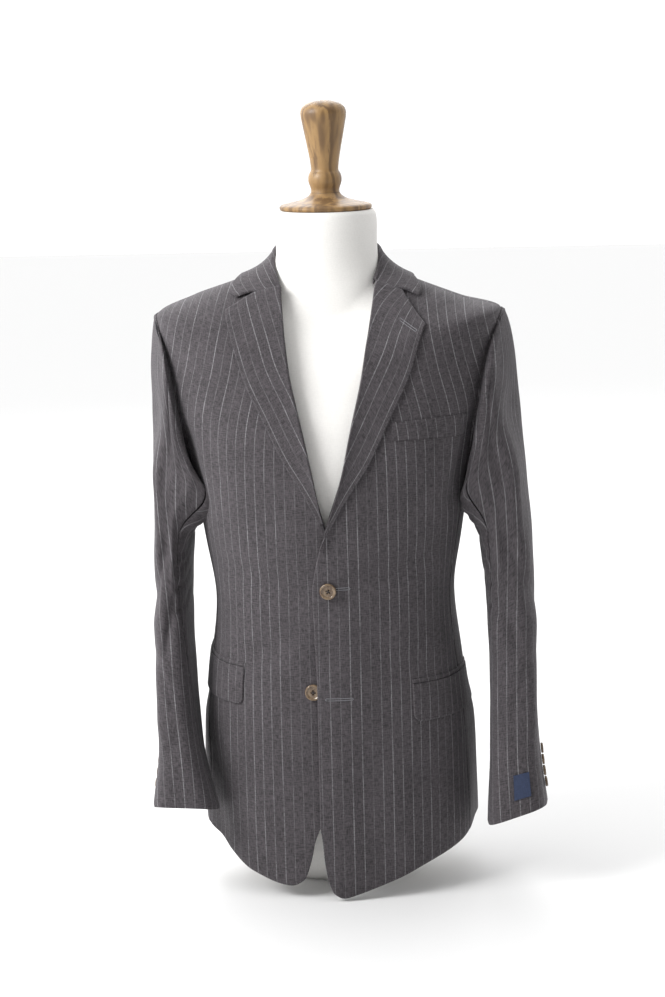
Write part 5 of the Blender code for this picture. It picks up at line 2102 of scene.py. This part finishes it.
@dataclass
class DressForm:
    """The limbless form: a covered torso and neck, with a turned cap and finial."""

    inset: float = 0.0095
    levels: Triple = (0.12, 0.7, 0.8)  # above the foot, at the shoulder and the neck
    level_rows: tuple[int, int] = (56, 14)
    foot_power: float = 2.4
    foot_rows: int = 15
    neck_top: float = 0.8425
    neck_root: float = 0.86
    neck_rows: int = 14
    neck_rim: tuple[float, ...] = (0.839, 0.8406, 0.8418)  # rows of its rounded top
    around: int = 128
    turned_around: int = 112
    cover_radius: float = 0.14  # that the cover's weave is laid round
    foot: Table = Table("height half_width front_depth back_depth", (
        (0.000, 0.084, 0.068, 0.08),
        (0.008, 0.092, 0.075, 0.087),
        (0.035, 0.113, 0.093, 0.1),
        (0.07, 0.138, 0.112, 0.114),
    ))
    neck: Table = Table("height half_width front_depth back_depth", (
        (0.788, 0.0625, 0.056, 0.0565),
        (0.806, 0.062, 0.057, 0.057),
        (0.826, 0.0625, 0.059, 0.059),
        (0.837, 0.0615, 0.0595, 0.0595),
        (0.8425, 0.058, 0.058, 0.058),
    ))
    cap: tuple[Pair, ...] = (
        (0.018, 0.0205), (0.0196, 0.0175), (0.027, 0.0128), (0.039, 0.0098), (0.051, 0.0074),
        (0.056, 0.0056), (0.0568, 0.0032), (0.056, 0.0008), (0.0548, 0.0),
    )
    finial: tuple[Pair, ...] = (
        (0.002, 0.111), (0.01, 0.1103), (0.019, 0.1078), (0.0255, 0.1035), (0.028, 0.098),
        (0.0278, 0.092), (0.0262, 0.084), (0.0236, 0.07), (0.0208, 0.056), (0.0182, 0.042),
        (0.0168, 0.031), (0.0168, 0.0262), (0.0192, 0.0232), (0.0206, 0.018), (0.0204, 0.013),
        (0.0186, 0.008), (0.0172, 0.004), (0.0176, 0.0),
    )

    def rings(self, sizes: Table, heights: Array, power: float) -> Array:
        """Makes level rings.

        Args:
            sizes: Their sizes.
            heights: Their heights.
            power: 2 for an ellipse.

        Returns:
            The rings.
        """
        angle = np.linspace(0, 2 * math.pi, self.around, endpoint=False)
        sine, cosine = np.sin(angle)[None], np.cos(angle)[None]
        across, front, back = (
            sizes.read(name, heights)[:, None] for name in ("half_width", "front_depth", "back_depth")
        )
        depth = np.where(cosine > 0, front, back)
        reach = (np.abs(sine / across) ** power + np.abs(cosine / depth) ** power) ** (-1 / power)
        return np.stack([reach * sine, -reach * cosine, heights[:, None] + reach * 0], -1)

    def torso(self) -> Arrays:
        """Draws the worn surface in by a finger's width, between the foot and the neck.

        Returns:
            The points and the faces.
        """
        angle = np.linspace(0, 2 * math.pi, self.around, endpoint=False)[None]
        low, middle, high = self.levels
        below, above = self.level_rows
        level = np.concatenate([np.linspace(low, middle, below), np.linspace(middle, high, above)[1:]])
        angle, level = np.broadcast_arrays(angle, level[:, None])
        inside = SURFACE.body(angle, level) - SURFACE.outward(angle, level) * self.inset
        edge = SURFACE.body(angle[:1], np.full_like(angle[:1], SURFACE.neck))
        root = edge * np.array([self.neck_root, self.neck_root, 1])
        foot = self.rings(self.foot, np.linspace(0, self.foot.rows[-1][0], self.foot_rows), self.foot_power)
        straight = np.linspace(self.neck.rows[0][0], self.neck.rows[-2][0], self.neck_rows)
        heights = np.concatenate([straight, self.neck_rim, [self.neck_top]])
        return closed_grid(np.concatenate([foot, inside, root, self.rings(self.neck, heights, 2)]))

    def turned(self, profile: tuple[Pair, ...], base: float) -> Arrays:
        """Turns a profile, its corners cut twice at a quarter, which rounds them.

        Args:
            profile: Radius and height of its corners.
            base: Its height above the ground.

        Returns:
            The points and the faces.
        """
        line = np.array(profile)
        for _ in range(2):
            cut = np.stack([0.75 * line[:-1] + 0.25 * line[1:], 0.25 * line[:-1] + 0.75 * line[1:]], 1)
            line = np.concatenate([line[:1], cut.reshape(-1, 2), line[-1:]])
        turn = np.linspace(0, 2 * math.pi, self.turned_around, endpoint=False)
        rows = [line[:, :1] * np.cos(turn), line[:, :1] * np.sin(turn), base + line[:, 1:] + 0 * turn]
        return closed_grid(np.stack(rows, -1))

    def build(self) -> None:
        """Makes the torso, the cap and the finial."""
        points, faces = self.torso()
        plan = np.arctan2(points[:, 0], -points[:, 1]) * self.cover_radius
        uv = np.stack([plan, points[:, 2]], -1)
        piece = make_piece("form_torso_cover", points, faces, [JERSEY], uv)
        attach(piece, "form_cover", "form_torso")
        cap_base = self.neck_top + SEAM
        finial_base = cap_base + self.cap[0][1] + SEAM
        for name, profile, base in (("neck_cap", self.cap, cap_base), ("finial", self.finial, finial_base)):
            attach(make_piece(f"{name}_turned", *self.turned(profile, base), [WALNUT]), "walnut", name)


# --- Studio ---


@dataclass(frozen=True)
class SoftLight:
    """A square soft light that looks at a point."""

    name: str
    place: Triple
    target: Triple
    size: float
    power: float

    def build(self) -> None:
        """Adds the light."""
        data = bpy.data.lights.new(self.name, "AREA")
        data.shape = "SQUARE"
        data.size = self.size
        data.energy = self.power
        obj = bpy.data.objects.new(self.name, data)
        obj.location = self.place
        way = Vector(self.target) - Vector(self.place)
        obj.rotation_euler = way.to_track_quat("-Z", "Y").to_euler()
        bpy.context.scene.collection.objects.link(obj)


@dataclass
class Studio:
    """A pale floor, soft lights, a pale world and the camera."""

    azimuth: float = math.radians(4.5)
    elevation: float = math.radians(11.5)
    distance: float = 2.75
    target: Triple = (-0.001, 0.0, 0.481)
    roll: float = math.radians(1.5)
    field_of_view: float = math.radians(25.7)  # upright
    world_strength: float = 1.15
    world_lean: Triple = (-0.34, 1.02, 0.0)  # brighter behind, above and on the left
    lights: tuple[SoftLight, ...] = (
        SoftLight("key", (-1.5, -0.95, 1.7), (0.0, 0.0, 0.55), 1.0, 46.0),
        SoftLight("back", (-0.5, 2.5, 2.2), (0.0, 0.0, 0.5), 1.8, 24.0),
    )

    def camera(self) -> None:
        """The camera, on a sphere round its target, turned about its own axis by the roll."""
        a, e, k = self.azimuth, self.elevation, self.roll
        away = Vector((math.sin(a) * math.cos(e), -math.cos(a) * math.cos(e), math.sin(e)))
        right = Vector((math.cos(a), math.sin(a), 0.0))
        up = away.cross(right)
        turned_right = right * math.cos(k) - up * math.sin(k)
        turned_up = right * math.sin(k) + up * math.cos(k)
        data = bpy.data.cameras.new("camera")
        data.sensor_fit = "VERTICAL"
        data.angle = self.field_of_view
        data.clip_start, data.clip_end = 0.05, 60.0
        camera = bpy.data.objects.new("camera", data)
        axes = Matrix((turned_right, turned_up, away)).transposed().to_4x4()
        camera.matrix_world = Matrix.Translation(Vector(self.target) + away * self.distance) @ axes
        bpy.context.scene.collection.objects.link(camera)
        bpy.context.scene.camera = camera

    def sky(self) -> None:
        """The world: plain white to the camera, and to the cloth a strength that slopes along each axis."""
        world = bpy.data.worlds.new("studio")
        world.use_nodes = True
        background = world.node_tree.nodes["Background"]
        background.inputs["Color"].default_value = (1.0, 1.0, 1.0, 1.0)
        shader = Shader(world.node_tree)
        way = shader.node("ShaderNodeTexCoord").outputs["Generated"]
        lean = 0.0
        for socket, slope in zip(shader.node("ShaderNodeSeparateXYZ", {0: way}).outputs, self.world_lean):
            lean = shader.math("MULTIPLY_ADD", socket, slope, lean)
        unseen = shader.math("SUBTRACT", 1.0, shader.node("ShaderNodeLightPath").outputs["Is Camera Ray"])
        strength = shader.math("MULTIPLY_ADD", lean, unseen, self.world_strength)
        shader.feed(background.inputs["Strength"], strength)
        bpy.context.scene.world = world

    def build(self) -> None:
        """Adds the floor, the world, the lights and the camera."""
        corners = np.array([[-9, -9, 0], [9, -9, 0], [9, 9, 0], [-9, 9, 0]], float)
        floor = make_piece("floor", corners, np.array([[0, 1, 2, 3]]), [FLOOR])
        self.sky()
        bpy.context.scene.view_settings.view_transform = "Standard"
        for light in self.lights:
            light.build()
        self.camera()


def declare_sheets(sheets: dict[str, Sheet], extras: dict[str, list[Piece]]) -> None:
    """Declares every sheet of cloth with its whole cut.

    Args:
        sheets: The cloth pieces by name.
        extras: The stitches and buttonholes that go with each.
    """
    under = {
        "lapel": lambda name: [name.replace("lapel", "front")],
        "pocket": lambda name: ["front_" + name.split("_")[2], "side_body_" + name.split("_")[2]],
        "breast": lambda name: ["front_left"],
        "cuff": lambda name: ["sleeve_upper_left"],
    }
    for name, sheet in sheets.items():
        kind = name.split("_")[0]
        rests_on = under[kind](name) if kind in under else ["form_torso"]
        folded, laid = kind == "lapel" or name == "collar_leaf", kind in ("pocket", "breast", "cuff")
        held = "folded" if folded else "laid" if laid else "hung"
        sheet.declare(held, rests_on, extras.get(name, []))


def main() -> None:
    """Builds the form, the jacket and the studio."""
    logging.basicConfig(level=logging.INFO, format="%(name)s: %(message)s")
    DressForm().build()
    jacket = JacketBody()
    lapels, sleeves = Lapels(jacket), Sleeves(jacket)
    sheets = {
        **jacket.build(),
        **lapels.build(),
        **Collar(lapels).build(),
        **sleeves.build(),
        **Pockets(jacket, sleeves).build(),
    }
    extras = Fastenings(jacket, lapels, sleeves).build()
    for name, pieces in EdgeStitching().build(sheets).items():
        extras.setdefault(name, []).extend(pieces)
    declare_sheets(sheets, extras)
    Studio().build()


if __name__ == "__main__":
    main()
